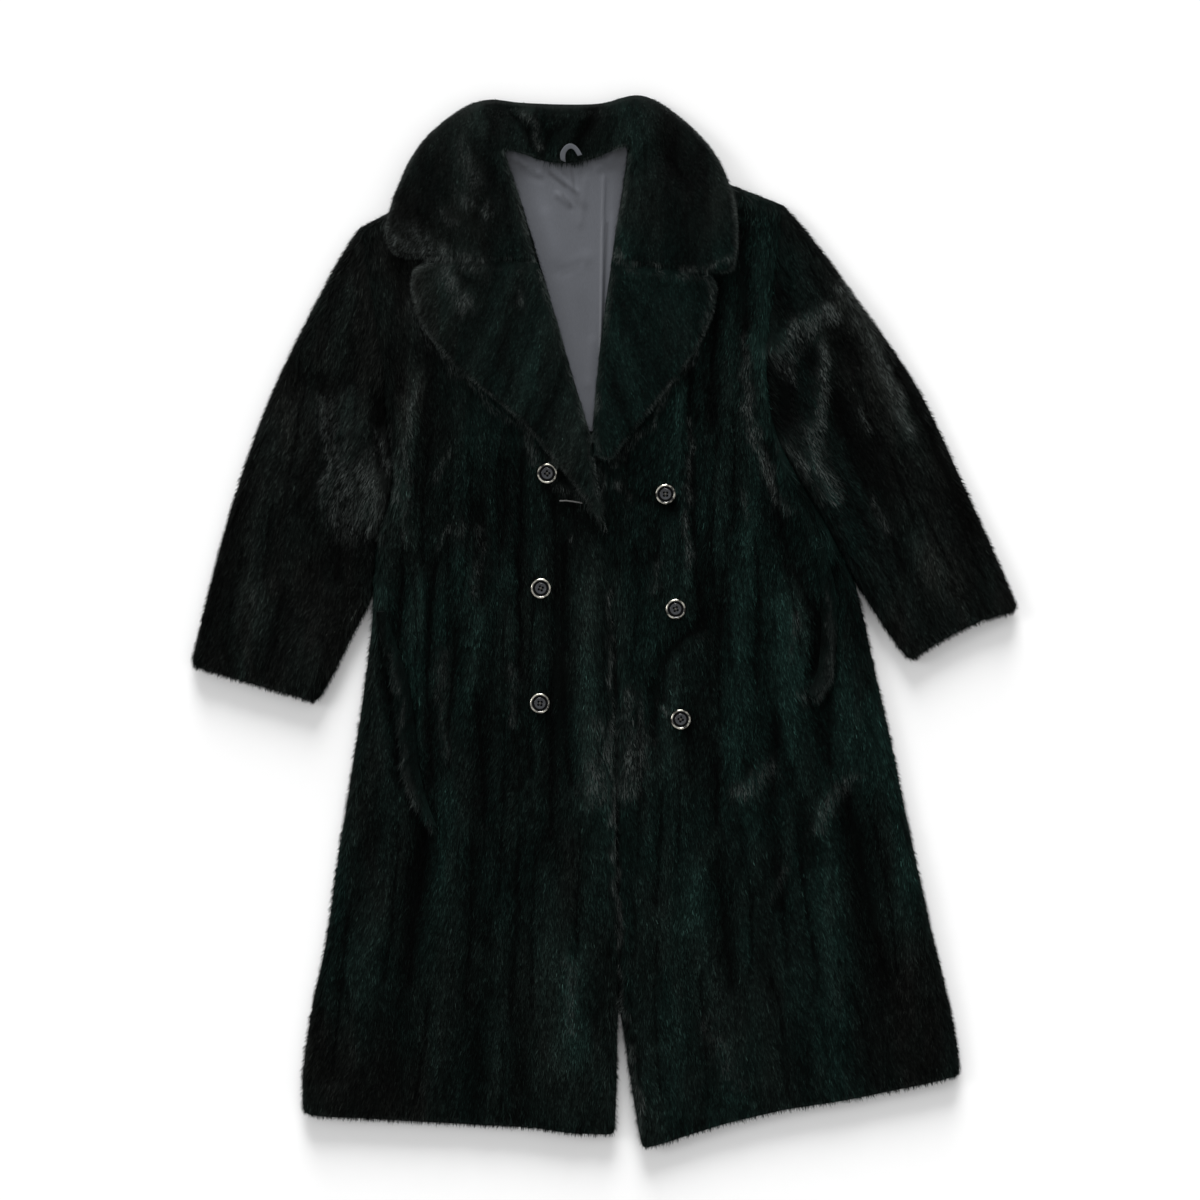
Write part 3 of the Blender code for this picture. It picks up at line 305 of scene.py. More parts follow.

# Where the fur is darker: painted shade in pits, under the lapels and in folds, and some broad darker
# patches; strength 1 is black
SHADE = marks(
    (-40, 134, -10, 104, 0, 13, 0.7),
    (-30, 120, -2, 118, 0, 10, 0.5),
    (-256, 230, -254, 190, 0, 7, 0.8),
    (-304, 114, -270, 102, -2, 5, 0.7),
    (214, 306, 208, 240, 0, 11, 0.8),
    (218, 172, 300, -20, 4, 5, 0.5),
    (244, 18, 240, -56, 8, 8, 0.75),
    (-268, -20, -252, -120, 0, 5, 0.6),
    (-250, -140, -222, -236, -3, 5, 0.6),
    (120, 280, 122, 10, -3, 6, 0.6),
    (122, 6, 66, -84, -14, 6, 0.6),
    (62, -84, 58, -150, 0, 6, 0.4),
    (30, 152, 82, 136, 0, 4, 0.7),
    (162, 470, 168, 322, 2, 6, 0.6),
    (-400, 330, -440, 0, 0, 60, 0.22),
    (-49, 90, -47, -120, -2, 5, 0.3),
    (-100, 190, -100, -70, -3, 5, 0.45),
    (282, -200, 330, -440, 0, 10, 0.35),
    (150, -300, 160, -440, 0, 10, 0.3),
    (-345, -500, -250, -560, 0, 40, 0.25),
    (-60, 576, -20, 578, 0, 20, 0.2),
    (-84, 596, -68, 566, 3, 5, 0.6),
    (-4, 608, -31, 578, 3, 4, 0.7),
    (-31, 580, -33, 562, 0, 4, 0.7),
    (-142, 615, -130, 566, -3, 6, 0.5),
    (-215, -330, -240, -600, 0, 85, 0.2),
    (360, -420, 390, -600, 0, 50, 0.4),
)

# Painted shadow: dark lines where one edge lies on another piece; strength 1 is black
SEAM_SHADOWS = marks(
    (11, 0, 12, -75, 0, 2.2, 0.9),
    (12, -75, 12, -150, 0, 1.5, 0.7),
    (12, -150, 14, -230, 0, 1.8, 0.8),
    (13, -215, 18, -440, 0, 2.4, 0.9),
)

# Where the dye is weaker or stronger, as a change from green (0) to brown (1)
BROWN_PLACES = marks(
    (-345, -500, -250, -580, 0, 60, 0.7),
    (350, -420, 385, -600, 0, 60, 0.6),
    (60, 250, 220, -140, 0, 80, -0.3),
    (-200, 160, -140, -120, 0, 60, -0.2),
    (30, 432, 130, 430, 0, 36, -0.45),
    (-235, 460, -150, 470, 0, 40, 0.3),
    (-240, 430, -242, 80, 0, 38, 0.5),
    (-290, 260, -270, 40, 0, 26, -0.3),
    (205, 420, 300, 40, 0, 42, -0.6),
    (300, 160, 380, 0, 0, 26, -0.25),
)

# Creases of the satin, as heights in millimetres
SATIN_CREASES = marks(
    (-2, 528, -6, 300, 0, 1.6, 0.9),
    (4, 520, 0, 320, 0, 2.5, -0.7),
    (-66, 532, -40, 504, 0, 3.0, -0.9),
    (-60, 534, -34, 508, 0, 3.0, 0.8),
    (-40, 506, -40, 488, 0, 2.4, -0.6),
    (-57, 505, -41, 492, 0, 3.2, 0.9),
    (-110, 546, -78, 528, -3, 3.5, 0.9),
    (-104, 538, -76, 522, -3, 3.0, -0.8),
    (16, 552, -10, 534, 3, 3.5, 0.9),
    (20, 542, -4, 528, 3, 3.0, -0.8),
    (-36, 420, -22, 430, 0, 8.0, 0.5),
    (-56, 412, -30, 424, 0, 4.0, -0.5),
    (-24, 522, -30, 470, 0, 4.0, 0.5),
    (-16, 330, -20, 280, 0, 6.0, 0.4),
    (-70, 480, -60, 430, 0, 8.0, 0.5),
)

SATIN_CREASE_GAIN = 2.0
DEEPEST_SATIN = -0.6  # a deeper trough would let the hairs below it through

# The lining's upper end is drawn on under the collar
TUCK_FROM_Y = 518.0
TUCK_LENGTH = 28.0
TUCK_DEPTH = 13.0

# Painted light (above 0) and painted shade on the satin, in its folds and gathers
SATIN_LIGHT_AND_SHADE = marks(
    (-66, 530, -48, 515, 0, 2.2, -0.40),
    (-63, 534, -44, 517, 0, 2.2, 0.20),
    (-51, 504, -41, 492, 0, 2.2, -0.35),
    (-41, 539, -37, 509, 0, 1.6, -0.25),
    (-36, 538, -33, 510, 0, 2.2, 0.14),
    (-34, 497, -24, 490, 0, 5, -0.20),
    (2, 470, -4, 333, 0, 1.6, -0.40),
    (8, 480, 2, 380, 0, 5, 0.14),
    (-51, 411, -32, 420, 0, 2.6, -0.22),
    (-46, 406, -28, 415, 0, 2.6, 0.10),
    (-110, 550, -78, 537, -2, 3, 0.20),
    (-113, 545, -84, 533, 0, 2, -0.25),
    (-1, 549, 20, 560, 0, 1.8, -0.35),
    (0, 556, 16, 562, 0, 2, 0.20),
    (-60, 543, 0, 543, 0, 3, -0.18),
    (-30, 380, -20, 300, 0, 12, -0.10),
    (-78, 500, -60, 450, 0, 9, 0.08),
)

# One row for each fur piece: its solid and finish, how often its form is subdivided, how many
# hairs it has, the direction of its nap, the share of the full hair length, how far its colour
# goes from green to brown, how bright the painted highlight on its rim is and how light it is.
Pelt = namedtuple("Pelt", "node finish levels hairs nap_x nap_y length brown rim tone")
PELTS = [
    Pelt("back", "body_fur", 1, 20000, 0.0, -1.0, 1.0, 0.3, 0.1, 0.9),
    Pelt("front_right", "body_fur", 2, 165000, 0.0, -1.0, 1.0, 0.28, 0.2, 0.93),
    Pelt("front_left", "body_fur", 2, 172000, 0.0, -1.0, 1.0, 0.2, 0.2, 1.0),
    Pelt("sleeve_right", "sleeve_fur", 2, 94000, -0.29, -0.957, 1.0, 0.8, 0.2, 0.7),
    Pelt("sleeve_left", "sleeve_fur", 2, 94000, 0.474, -0.88, 1.0, 0.8, 0.2, 0.75),
    Pelt("lapel_right", "body_fur", 2, 42000, -0.35, -0.94, 0.66, 0.5, 0.9, 1.12),
    Pelt("lapel_left", "body_fur", 2, 29000, 0.30, -0.95, 0.66, 0.1, 0.85, 1.2),
    Pelt("collar", "body_fur", 2, 75000, 0.0, -1.0, 0.66, 0.5, 0.85, 1.08),
    Pelt("pocket_lip_right", "body_fur", 2, 5000, -0.05, -1.0, 0.95, 0.25, 0.12, 0.8),
    Pelt("pocket_lip_left", "body_fur", 2, 4000, 0.05, -1.0, 0.95, 0.2, 0.12, 0.8),
]

# Corners that the fur rounds off: the corner of the solid, the direction inwards, the radius
Corner = namedtuple("Corner", "node x y inward_x inward_y radius")
CORNERS = [
    Corner("lapel_left", 133, 409, -0.8, -0.6, 24),
    Corner("lapel_right", -236, 426, 0.75, -0.66, 30),
    Corner("collar", 153, 411, -0.7, 0.7, 17),
    Corner("collar", -255, 431, 0.7, 0.7, 22),
]

# Lengths in millimetres and angles in degrees, unless the comment says a share
RIM_REACHES = (-1.5, 1.7)  # least and most that a hair may reach past the edge of its solid
RIM_WIDTH = 8.0  # how far in from an edge its painted rim highlight fades out
SEAM_LOOK = 9.0  # how far beyond a root the next piece is looked for
SEAM_CLOSING = 1.6  # how far a pelt reaches into the gap of a seam
FLOOR_CLEAR = 6.0  # lower than this there is only floor beside a piece
SEAM_WIDTH = 12.0  # how far in from an edge the hairs reach over to the next piece
LIFTS = (6.0, 19.0)  # least and most that a hair rises from the pelt
ROOT_DEPTH = 0.8  # how far a hair starts inside the pelt
ROLL = 40.0  # most that a blade turns about its length
SHORTEST_SHARE = 0.25  # of a hair's length, the least room that is asked of it
STANDING_SHARE = 0.75  # how far a hair without room to lie down stands up instead
STANDING_LENGTH = 0.5  # share of the length that a standing hair keeps at least
CARRIED_LENGTH = 1.5  # how much longer a hair is that the next piece carries
CARRIED_DROP = 4.0  # how far below a root the next piece may lie and still carry the hair
LEAST_REACH = 0.15  # share of a hair's length that counts as its way outward at least
LENGTH_SPREAD = (0.6, 1.15)  # shares of the full length
WIDTH_SPREAD = (0.7, 1.3)  # shares of the full width
EDGE_WIDTH_SHARE = 0.7  # hairs near an edge are narrower
LEVELLING = 0.85  # how far a hair's direction follows the surface, as a share
DROOP = 0.35  # how far hairs on a steep side turn down
FREE_LOOK = 8.0  # how far beyond a root a free edge is looked for
FREE_DROP = 3.0  # how far the edge has to stand above what is beside it
OUTWARD_PUSH = 1.8  # how far hairs at a free edge turn outward
OUTWARD_WIDTH = 10.0
OUTWARD_POWER = 1.5
SLOW_TURN = 0.22  # turns in radians: over hand-wide patches, over tufts, to a tuft's middle, by chance
TUFT_TURN = 0.12
LEAN_TURN = 0.35
CHANCE_TURN = 0.10
LEAN_STEP = 1.0
HAIR_FLOOR_GAP = 0.1  # least height of a hair over the underside of its piece
PELT_FLOOR_GAP = 0.4
SEAM_DROP = 6.0  # how far below a pelt's edge the next piece may lie and still close the seam
LOWEST_FACING = -0.25  # faces that look further down than this bear no hairs
FLARE = 0.00055  # how fast the nap of the skirt spreads, for each millimetre from the middle
FLARE_FROM_Y = 100.0
FLARE_BLEND = 200.0  # length over which the spread sets in
COLLAR_MIDDLE_X = 45.0  # the collar's nap fans out from here, to either side
COLLAR_FAN = 330.0

# How light, brown and frosted the fur is, with its painted light, shade, sheen and highlights, mostly as
# shares
PELT_FROST_AND_SHEEN = 0.25  # how much of the frost and painted sheen on the hairs the pelt below them shows
PAINTED_RELIEF_GAIN = 0.22  # how fast painted light brightens the fur with height, and painted shade darkens it with depth, for each millimetre
# How much the creases and the solid's hollows count in the height that sets the painted light and shade
CREASE_GAIN = 1.6
HOLLOW_GAIN = 0.8
RELIEF_LIMITS = (0.25, 2.2)  # least and most that the painted light and shade from height alone make of the lightness
STREAK_GAIN = 0.75  # how far the streaks along the nap lighten and darken
SHADE_DEPTH = 0.85  # how dark the painted shade, the painted shade line of a trough and the painted shade of a small crease get
TROUGH_SHADE_DEPTH = 0.72
SMALL_CREASE_DEPTH = 0.55
SMALL_CREASE_WIDTH = 0.09  # of the range of the noise whose zero the painted shade of a small crease follows
SMALL_CREASE_AMOUNT = (0.2, 1.3)  # how far the painted shade of small creases covers the fur: everywhere, and here and there
SLOPE_SHADING_GAIN = 0.65  # how far painted light and shade lighten and darken the slopes beside a small crease
TONE_LIMITS = (0.08, 2.4)
DYE_DRIFTS = (0.24, 0.22)  # how far the dye changes over broad and narrow patches
PATCHES = (0.68, 0.55, 0.35)  # how patchy the frost and painted sheen are: in the mean, in tufts, in locks
MOST_PATCHY = 1.3
# Strength of the painted highlight on the hairs along a free edge
RIM_HIGHLIGHT = 1.35
RIM_HIGHLIGHT_PATCHES = (0.6, 0.6)  # how patchy the painted rim highlight is: in the mean, and in tufts
HAIR_FROST_AND_SHEEN = 2.0  # how far the palest hairs go beyond the pelt's frost and painted sheen
HAIR_TONES = (-0.1, 0.65)  # mean and spread of the hairs' lightness, as logarithms
RAGGED = (5.0, 2.5, 9.0)  # how far a stroke's edge strays across, finely across, and along
HOLLOW_EDGE = 22.0  # nearer to an edge than this, the fall of the edge isn't a hollow
VALLEY_SHARE = 0.62  # a valley's painted shade is weaker than a ridge's painted light, but it has a painted shade line
TROUGH_SHARE = 0.24  # how wide the painted shade line of a trough is, of the trough
SHARPER_FOLDS = 0.4  # added to the folds of the solid, whose faces are too large for them
SIDE_INSET_SHARE = -0.3  # how much of the pile's depth a pelt is drawn in at its sides

# The grid on which the coat's heights are read
GRID_STEP = 3.0
GRID_MARGIN = 24.0
BURIED_BELOW = 3.0  # a root this far under another piece isn't seen
BURIED_CELLS = 2
SEEN_RIM = 8.0  # roots this near to an edge always count as seen
EDGE_REACH = 45.0  # largest distance to an edge that is told apart
HOLLOW_CELLS = 4  # cells to each side over which a hollow is compared with its surroundings
FAR_ABOVE = 1000.0
NOISE_CELLS = 64

CORNER_FACING = 0.6  # how squarely a place looks at a corner that is drawn in to an arc
CORNER_REACH = 2.2  # how far from the arc's centre, in radii, it is still drawn in

SEED = 11


def smooth_noise(x, y, cell_x, cell_y, seed):
    """Noise from -1 to 1 that is smooth over cells of that size."""
    lattice = np.random.default_rng(seed).uniform(-1.0, 1.0, (NOISE_CELLS, NOISE_CELLS))
    u = np.asarray(x) / cell_x
    v = np.asarray(y) / cell_y
    column, row = np.floor(u).astype(int), np.floor(v).astype(int)
    fu, fv = u - column, v - row
    fu, fv = fu * fu * (3 - 2 * fu), fv * fv * (3 - 2 * fv)
    left, right = column % NOISE_CELLS, (column + 1) % NOISE_CELLS
    low, high = row % NOISE_CELLS, (row + 1) % NOISE_CELLS
    bottom = lattice[left, low] * (1 - fu) + lattice[right, low] * fu
    top = lattice[left, high] * (1 - fu) + lattice[right, high] * fu
    return bottom * (1 - fv) + top * fv


def marked(marks, x, y):
    """How strongly each stroke covers each place, as one row for each stroke."""
    rows = []
    for mark in marks:
        run_x, run_y = mark.end_x - mark.start_x, mark.end_y - mark.start_y
        length = math.hypot(run_x, run_y)
        from_x, from_y = x - mark.start_x, y - mark.start_y
        share = (from_x * run_x + from_y * run_y) / length**2
        inside = np.clip(share, 0.0, 1.0)
        aside = (from_y * run_x - from_x * run_y) / length - mark.bow * 4 * inside * (1 - inside)
        past = (share - inside) * length
        distance = (aside**2 + past**2) / mark.half_width**2
        rows.append(mark.strength * np.exp(-distance))
    return np.array(rows)


def blurred(grid, cells):
    """The grid averaged over a square of cells on each side."""
    for axis in (0, 1):
        total = np.zeros_like(grid)
        for shift in range(-cells, cells + 1):
            total += np.roll(grid, shift, axis)
        grid = total / (2 * cells + 1)
    return grid


class Chart:
    """Heights, edges and covers of the coat's pieces, read from straight above on a grid."""

    def __init__(self, low, high):
        self.low = np.array(low[:2]) / MM - GRID_MARGIN
        size = np.array(high[:2]) / MM + GRID_MARGIN - self.low
        self.shape = tuple((size / GRID_STEP).astype(int) + 1)
        self.xs = self.low[0] + np.arange(self.shape[0]) * GRID_STEP
        self.ys = self.low[1] + np.arange(self.shape[1]) * GRID_STEP

    def heights(self, nodes):
        """The top of the highest of the nodes at each place, and which it is, -1 outside them."""
        corners, faces, owner = [], [], []
        for index, node in enumerate(nodes):
            mesh = node.data
            first = len(corners)
            corners += [tuple(v.co / MM) for v in mesh.vertices]
            faces += [tuple(first + i for i in face.vertices) for face in mesh.polygons]
            owner += [index] * len(mesh.polygons)
        tree = BVHTree.FromPolygons(corners, faces)
        top = np.zeros(self.shape)
        which = np.full(self.shape, -1)
        box = np.array(corners)
        reach_x = np.flatnonzero((self.xs >= box[:, 0].min()) & (self.xs <= box[:, 0].max()))
        reach_y = np.flatnonzero((self.ys >= box[:, 1].min()) & (self.ys <= box[:, 1].max()))
        down = Vector((0, 0, -1))
        for i in reach_x:
            for j in reach_y:
                place, _, face, _ = tree.ray_cast(Vector((self.xs[i], self.ys[j], FAR_ABOVE)), down)
                if face is not None:
                    top[i, j] = place.z
                    which[i, j] = owner[face]
        return top, which

    def read(self, grid, x, y):
        """The grid at any places, blended between its cells."""
        u = np.clip((x - self.low[0]) / GRID_STEP, 0, self.shape[0] - 1.001)
        v = np.clip((y - self.low[1]) / GRID_STEP, 0, self.shape[1] - 1.001)
        i, j = u.astype(int), v.astype(int)
        fu, fv = u - i, v - j
        low = grid[i, j] * (1 - fu) + grid[i + 1, j] * fu
        high = grid[i, j + 1] * (1 - fu) + grid[i + 1, j + 1] * fu
        return low * (1 - fv) + high * fv


def edge_distance(inside):
    """Distance of each place to the edge of a piece, and 0 outside it."""
    distance = np.where(inside, EDGE_REACH, 0.0)
    for _ in range(int(EDGE_REACH / GRID_STEP) + 1):
        for shift_x in (-1, 0, 1):
            for shift_y in (-1, 0, 1):
                step = GRID_STEP * math.hypot(shift_x, shift_y)
                moved = np.roll(np.roll(distance, shift_x, 0), shift_y, 1) + step
                distance = np.minimum(distance, moved)
    return distance


class Footprint:
    """Where one piece lies: its top, its distance to the edge, and what other pieces cover."""

    def __init__(self, chart, node, index, coat_top, coat_which, lowest):
        self.chart = chart
        self.lowest = lowest
        top, which = chart.heights([node])
        inside = which >= 0
        self.edge = blurred(edge_distance(inside), 1)
        self.out_x, self.out_y = (-slope / GRID_STEP for slope in np.gradient(self.edge))
        weight = blurred(inside.astype(float), HOLLOW_CELLS) + 1e-6
        self.hollow = np.where(inside, top - blurred(top * inside, HOLLOW_CELLS) / weight, 0.0)
        covered = (coat_which != index) & (coat_which >= 0) & (coat_top > top + 1.0)
        open_places = blurred((~covered).astype(float), BURIED_CELLS) > 1e-6
        self.cover = np.where(open_places, 0.0, coat_top)
        self.coat = coat_top

    def at(self, name, x, y):
        """One of its grids, by name, at any places."""
        return self.chart.read(getattr(self, name), x, y)


def copied(name, label):
    """A piece with the mesh of a CAD node, its loose triangles joined into quads."""
    bpy.ops.object.select_all(action="DESELECT")
    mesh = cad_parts[name].data.copy()
    mesh.name = label
    mesh.materials.clear()
    work = bmesh.new()
    work.from_mesh(mesh)
    bmesh.ops.remove_doubles(work, verts=work.verts, dist=0.02 * MM)
    bmesh.ops.join_triangles(
        work, faces=work.faces, angle_face_threshold=math.pi, angle_shape_threshold=math.pi
    )
    work.to_mesh(mesh)
    work.free()
    piece = bpy.data.objects.new(label, mesh)
    bpy.context.scene.collection.objects.link(piece)
    bpy.context.view_layer.objects.active = piece
    piece.select_set(True)
    return piece


def finish_with(piece, name, kind, **values):
    """Adds a modifier with those values and applies it."""
    bpy.context.view_layer.objects.active = piece
    modifier = piece.modifiers.new(name, kind)
    for key, value in values.items():
        setattr(modifier, key, value)
    bpy.ops.object.modifier_apply(modifier=modifier.name)


def points_of(mesh):
    """The places and normals of a mesh's vertices, in millimetres."""
    places = np.empty(len(mesh.vertices) * 3)
    normals = np.empty(len(mesh.vertices) * 3)
    mesh.vertices.foreach_get("co", places)
    mesh.vertices.foreach_get("normal", normals)
    return places.reshape(-1, 3) / MM, normals.reshape(-1, 3)


def place_points(mesh, places):
    """Moves a mesh's vertices to places in millimetres."""
    mesh.vertices.foreach_set("co", (places * MM).ravel())
    mesh.update()


def smooth(mesh):
    for face in mesh.polygons:
        face.use_smooth = True


def give_values(mesh, name, values):
    """A number for each vertex that the materials read."""
    mesh.attributes.new(name, "FLOAT", "POINT")
    mesh.attributes[name].data.foreach_set("value", np.asarray(values, np.float32))


def lay_flat_map(mesh, places):
    """A UV map: the coat seen from straight above."""
    layer = mesh.uv_layers.new(name="OFBake")
    corner = np.empty(len(mesh.loops), np.int32)
    mesh.loops.foreach_get("vertex_index", corner)
    low, high = places[:, :2].min(axis=0), places[:, :2].max(axis=0)
    flat = (places[:, :2] - low) / (high - low).max()
    layer.data.foreach_set("uv", flat[corner].astype(np.float32).ravel())


def nap_of(row, x, y):
    """The nap at each place: its direction, and how far across and along it the place lies."""
    flare = FLARE if row.finish == "body_fur" else 0.0
    below = FLARE_FROM_Y - y
    opened = np.clip(below / FLARE_BLEND, 0.0, 1.0)
    travelled = np.where(
        below < FLARE_BLEND, np.maximum(below, 0) ** 2 / (2 * FLARE_BLEND), below - FLARE_BLEND / 2
    )
    nap_x = row.nap_x + flare * x * opened
    if row.node == "collar":
        nap_x = nap_x + (x + COLLAR_MIDDLE_X) / COLLAR_FAN
    nap_y = np.full_like(nap_x, row.nap_y)
    length = np.hypot(nap_x, nap_y)
    across = (x * -row.nap_y + y * row.nap_x) * np.exp(-flare * travelled)
    along = x * row.nap_x + y * row.nap_y
    return nap_x / length, nap_y / length, across, along


def streaks(across, along, seed):
    """Soft stripes along the nap, from broad ones to fine ones, as -1 to 1."""
    return (
        0.34 * smooth_noise(across, along, 24.0, 150.0, seed)
        + 0.28 * smooth_noise(across, along, 9.0, 36.0, seed + 1)
        + 0.46 * smooth_noise(across, along, 3.4, 10.0, seed + 2)
        + 0.40 * smooth_noise(across, along, 1.9, 5.5, seed + 3)
    )


def fold_height(row, x, y):
    """Height of the main folds at each place."""
    folds = FOLDS.get(row.node)
    return marked(folds, x, y).sum(axis=0) if folds else np.zeros_like(x)


def ragged_places(x, y, seed):
    """The places moved a few millimetres, so that strokes looked up there have ragged edges."""
    across, fine, along = RAGGED
    ragged_x = x + across * smooth_noise(x, y, 17, 21, seed) + fine * smooth_noise(x, y, 6, 9, seed + 1)
    ragged_y = y + along * smooth_noise(x, y, 17, 21, seed + 2)
    return ragged_x, ragged_y


def trough_shade_marks(row):
    """The narrow painted shade line of each trough and crease that crosses a piece."""
    return [
        mark._replace(half_width=TROUGH_SHARE * mark.half_width, strength=1.0)
        for mark in FOLDS.get(row.node, []) + CREASES
        if mark.strength < 0
    ]


def fur_values(row, index, footprint, x, y):
    """How light, brown and frosted the fur is at each place, with painted light and shade from its form and
    the shade marks, and painted sheen with the frost.
    """
    _, _, across, along = nap_of(row, x, y)
    seed = SEED + 10 * index
    stripe = streaks(across, along, seed)
    # Painted light and shade from the form: lighter on ridges, darker in troughs, creases and hollows
    relief = fold_height(row, x, y) + CREASE_GAIN * marked(CREASES, x, y).sum(axis=0)
    inland = np.clip(footprint.at("edge", x, y) / HOLLOW_EDGE, 0, 1)
    relief += HOLLOW_GAIN * inland * footprint.at("hollow", x, y)
    ragged_x, ragged_y = ragged_places(x, y, seed + 11)
    # Painted shade from the shade marks, and the painted shade line along each trough and crease
    shade = marked(SHADE, ragged_x, ragged_y).max(axis=0)
    trough_shade = marked(trough_shade_marks(row), 0.5 * (x + ragged_x), 0.5 * (y + ragged_y)).max(axis=0)
    relief = np.where(relief < 0, VALLEY_SHARE * relief, relief)
    tone = (1 + STREAK_GAIN * stripe) * np.clip(np.exp(PAINTED_RELIEF_GAIN * relief), *RELIEF_LIMITS)
    # Painted shade of small soft creases runs where a stretched noise crosses zero, here and there, with
    # painted light and shade on the slopes beside them
    everywhere, in_places = SMALL_CREASE_AMOUNT
    wander = smooth_noise(across + 0.3 * (ragged_x - x), along, 19.0, 130.0, seed + 15)
    here = np.clip(everywhere + in_places * smooth_noise(across, along, 30.0, 90.0, seed + 16), 0, 1)
    small_crease_shade = np.exp(-((wander / SMALL_CREASE_WIDTH) ** 2)) * here
    tone *= (1 - SHADE_DEPTH * shade) * (1 - TROUGH_SHADE_DEPTH * trough_shade)
    tone *= (1 - SMALL_CREASE_DEPTH * small_crease_shade) * (1 + SLOPE_SHADING_GAIN * wander)
    # Lightness of the piece, and painted shadow where one edge lies on another piece
    tone *= row.tone * (1 - marked(SEAM_SHADOWS, x, y).max(axis=0))
    # The dye runs on from piece to piece
    brown = row.brown + DYE_DRIFTS[0] * smooth_noise(x, y, 40.0, 150.0, SEED + 4)
    brown += DYE_DRIFTS[1] * smooth_noise(ragged_x, ragged_y, 12.0, 55.0, SEED + 5)
    brown += marked(BROWN_PLACES, x, y).sum(axis=0)
    # Frosted hairs, and painted sheen and highlights, in patches
    mean, tufts, locks = PATCHES
    patchy = mean + tufts * smooth_noise(across, along, 5.0, 17.0, seed + 6)
    patchy += locks * smooth_noise(across, along, 2.2, 8.0, seed + 14)
    frost_and_sheen = marked(FROST_AND_SHEEN, ragged_x, ragged_y).max(axis=0) * np.clip(patchy, 0, MOST_PATCHY)
    return np.clip(tone, *TONE_LIMITS), np.clip(brown, 0, 1), np.clip(frost_and_sheen, 0, 1)


def rounded_off(row, places):
    """The places with the corners of the piece drawn in to an arc."""
    for corner in CORNERS:
        if corner.node != row.node:
            continue
        inward = np.array((corner.inward_x, corner.inward_y))
        centre = np.array((corner.x, corner.y)) + inward * corner.radius * math.sqrt(2)
        offset = places[:, :2] - centre
        distance = np.hypot(offset[:, 0], offset[:, 1]) + 1e-6
        facing = -(offset @ inward) / distance
        near = distance < CORNER_REACH * corner.radius
        beyond = (distance > corner.radius) & (facing > CORNER_FACING) & near
        shrink = np.where(beyond, corner.radius / distance, 1.0)
        places[:, :2] = centre + offset * shrink[:, None]
    return places


def make_pelt(row, index, footprint, inset):
    """A pelt: the form of its solid, drawn in by the depth of the pile, with its fine creases."""
    piece = copied(row.node, row.node + "_pelt")
    finish_with(piece, "Form", "SUBSURF", levels=row.levels, render_levels=row.levels)
    mesh = piece.data
    places, normals = points_of(mesh)
    crease = marked(CREASES, places[:, 0], places[:, 1]).sum(axis=0)
    crease += SHARPER_FOLDS * fold_height(row, places[:, 0], places[:, 1])
    places[:, 2] += crease * np.clip(normals[:, 2], 0, 1)
    places = rounded_off(row, places)
    places -= normals * np.array((SIDE_INSET_SHARE, SIDE_INSET_SHARE, 1.0)) * inset
    x, y = places[:, 0], places[:, 1]
    out_x, out_y = footprint.at("out_x", x, y), footprint.at("out_y", x, y)
    next_top = footprint.at("coat", x + SEAM_LOOK * out_x, y + SEAM_LOOK * out_y)
    beside = next_top > np.maximum(places[:, 2] - SEAM_DROP, FLOOR_CLEAR)
    seam = beside & (footprint.at("edge", x, y) < RIM_WIDTH)
    places[:, :2] += SEAM_CLOSING * seam[:, None] * np.stack([out_x, out_y], axis=1)
    places[:, 2] = np.maximum(places[:, 2], footprint.lowest + PELT_FLOOR_GAP)
    place_points(mesh, places)
    smooth(mesh)
    tone, brown, frost_and_sheen = fur_values(row, index, footprint, places[:, 0], places[:, 1])
    for name, values in (("tone", tone), ("brown", brown), ("frost_and_sheen", PELT_FROST_AND_SHEEN * frost_and_sheen)):
        give_values(mesh, name, values)
    lay_flat_map(mesh, places)
    return piece


def roots_on(piece, count, rng):
    """Places and normals spread evenly over the faces of a piece."""
    mesh = piece.data
    mesh.calc_loop_triangles()
    corners = np.empty(len(mesh.loop_triangles) * 3, np.int32)
    mesh.loop_triangles.foreach_get("vertices", corners)
    corners = corners.reshape(-1, 3)
    places, normals = points_of(mesh)
    a, b, c = (places[corners[:, k]] for k in range(3))
    area = np.linalg.norm(np.cross(b - a, c - a), axis=1)
    chosen = rng.choice(len(corners), count, p=area / area.sum())
    u, v = rng.random(count), rng.random(count)
    folded = u + v > 1
    u, v = np.where(folded, 1 - u, u)[:, None], np.where(folded, 1 - v, v)[:, None]
    root = a[chosen] * (1 - u - v) + b[chosen] * u + c[chosen] * v
    n = normals[corners[chosen]]
    normal = n[:, 0] * (1 - u - v) + n[:, 1] * u + n[:, 2] * v
    return root, unit(normal)


def unit(vectors):
    """The vectors at length 1."""
    return vectors / (np.linalg.norm(vectors, axis=1)[:, None] + 1e-9)


def seen_roots(piece, footprint, count, rng):
    """Roots on the sides and top of a pelt that no other piece buries."""
    found_places, found_normals, found = [], [], 0
    while found < count:
        places, normals = roots_on(piece, 2 * count, rng)
        x, y = places[:, 0], places[:, 1]
        under = footprint.at("cover", x, y) > places[:, 2] + BURIED_BELOW
        buried = under & (footprint.at("edge", x, y) > SEEN_RIM)
        keep = (normals[:, 2] > LOWEST_FACING) & ~buried
        found_places.append(places[keep])
        found_normals.append(normals[keep])
        found += int(keep.sum())
    return np.concatenate(found_places)[:count], np.concatenate(found_normals)[:count]


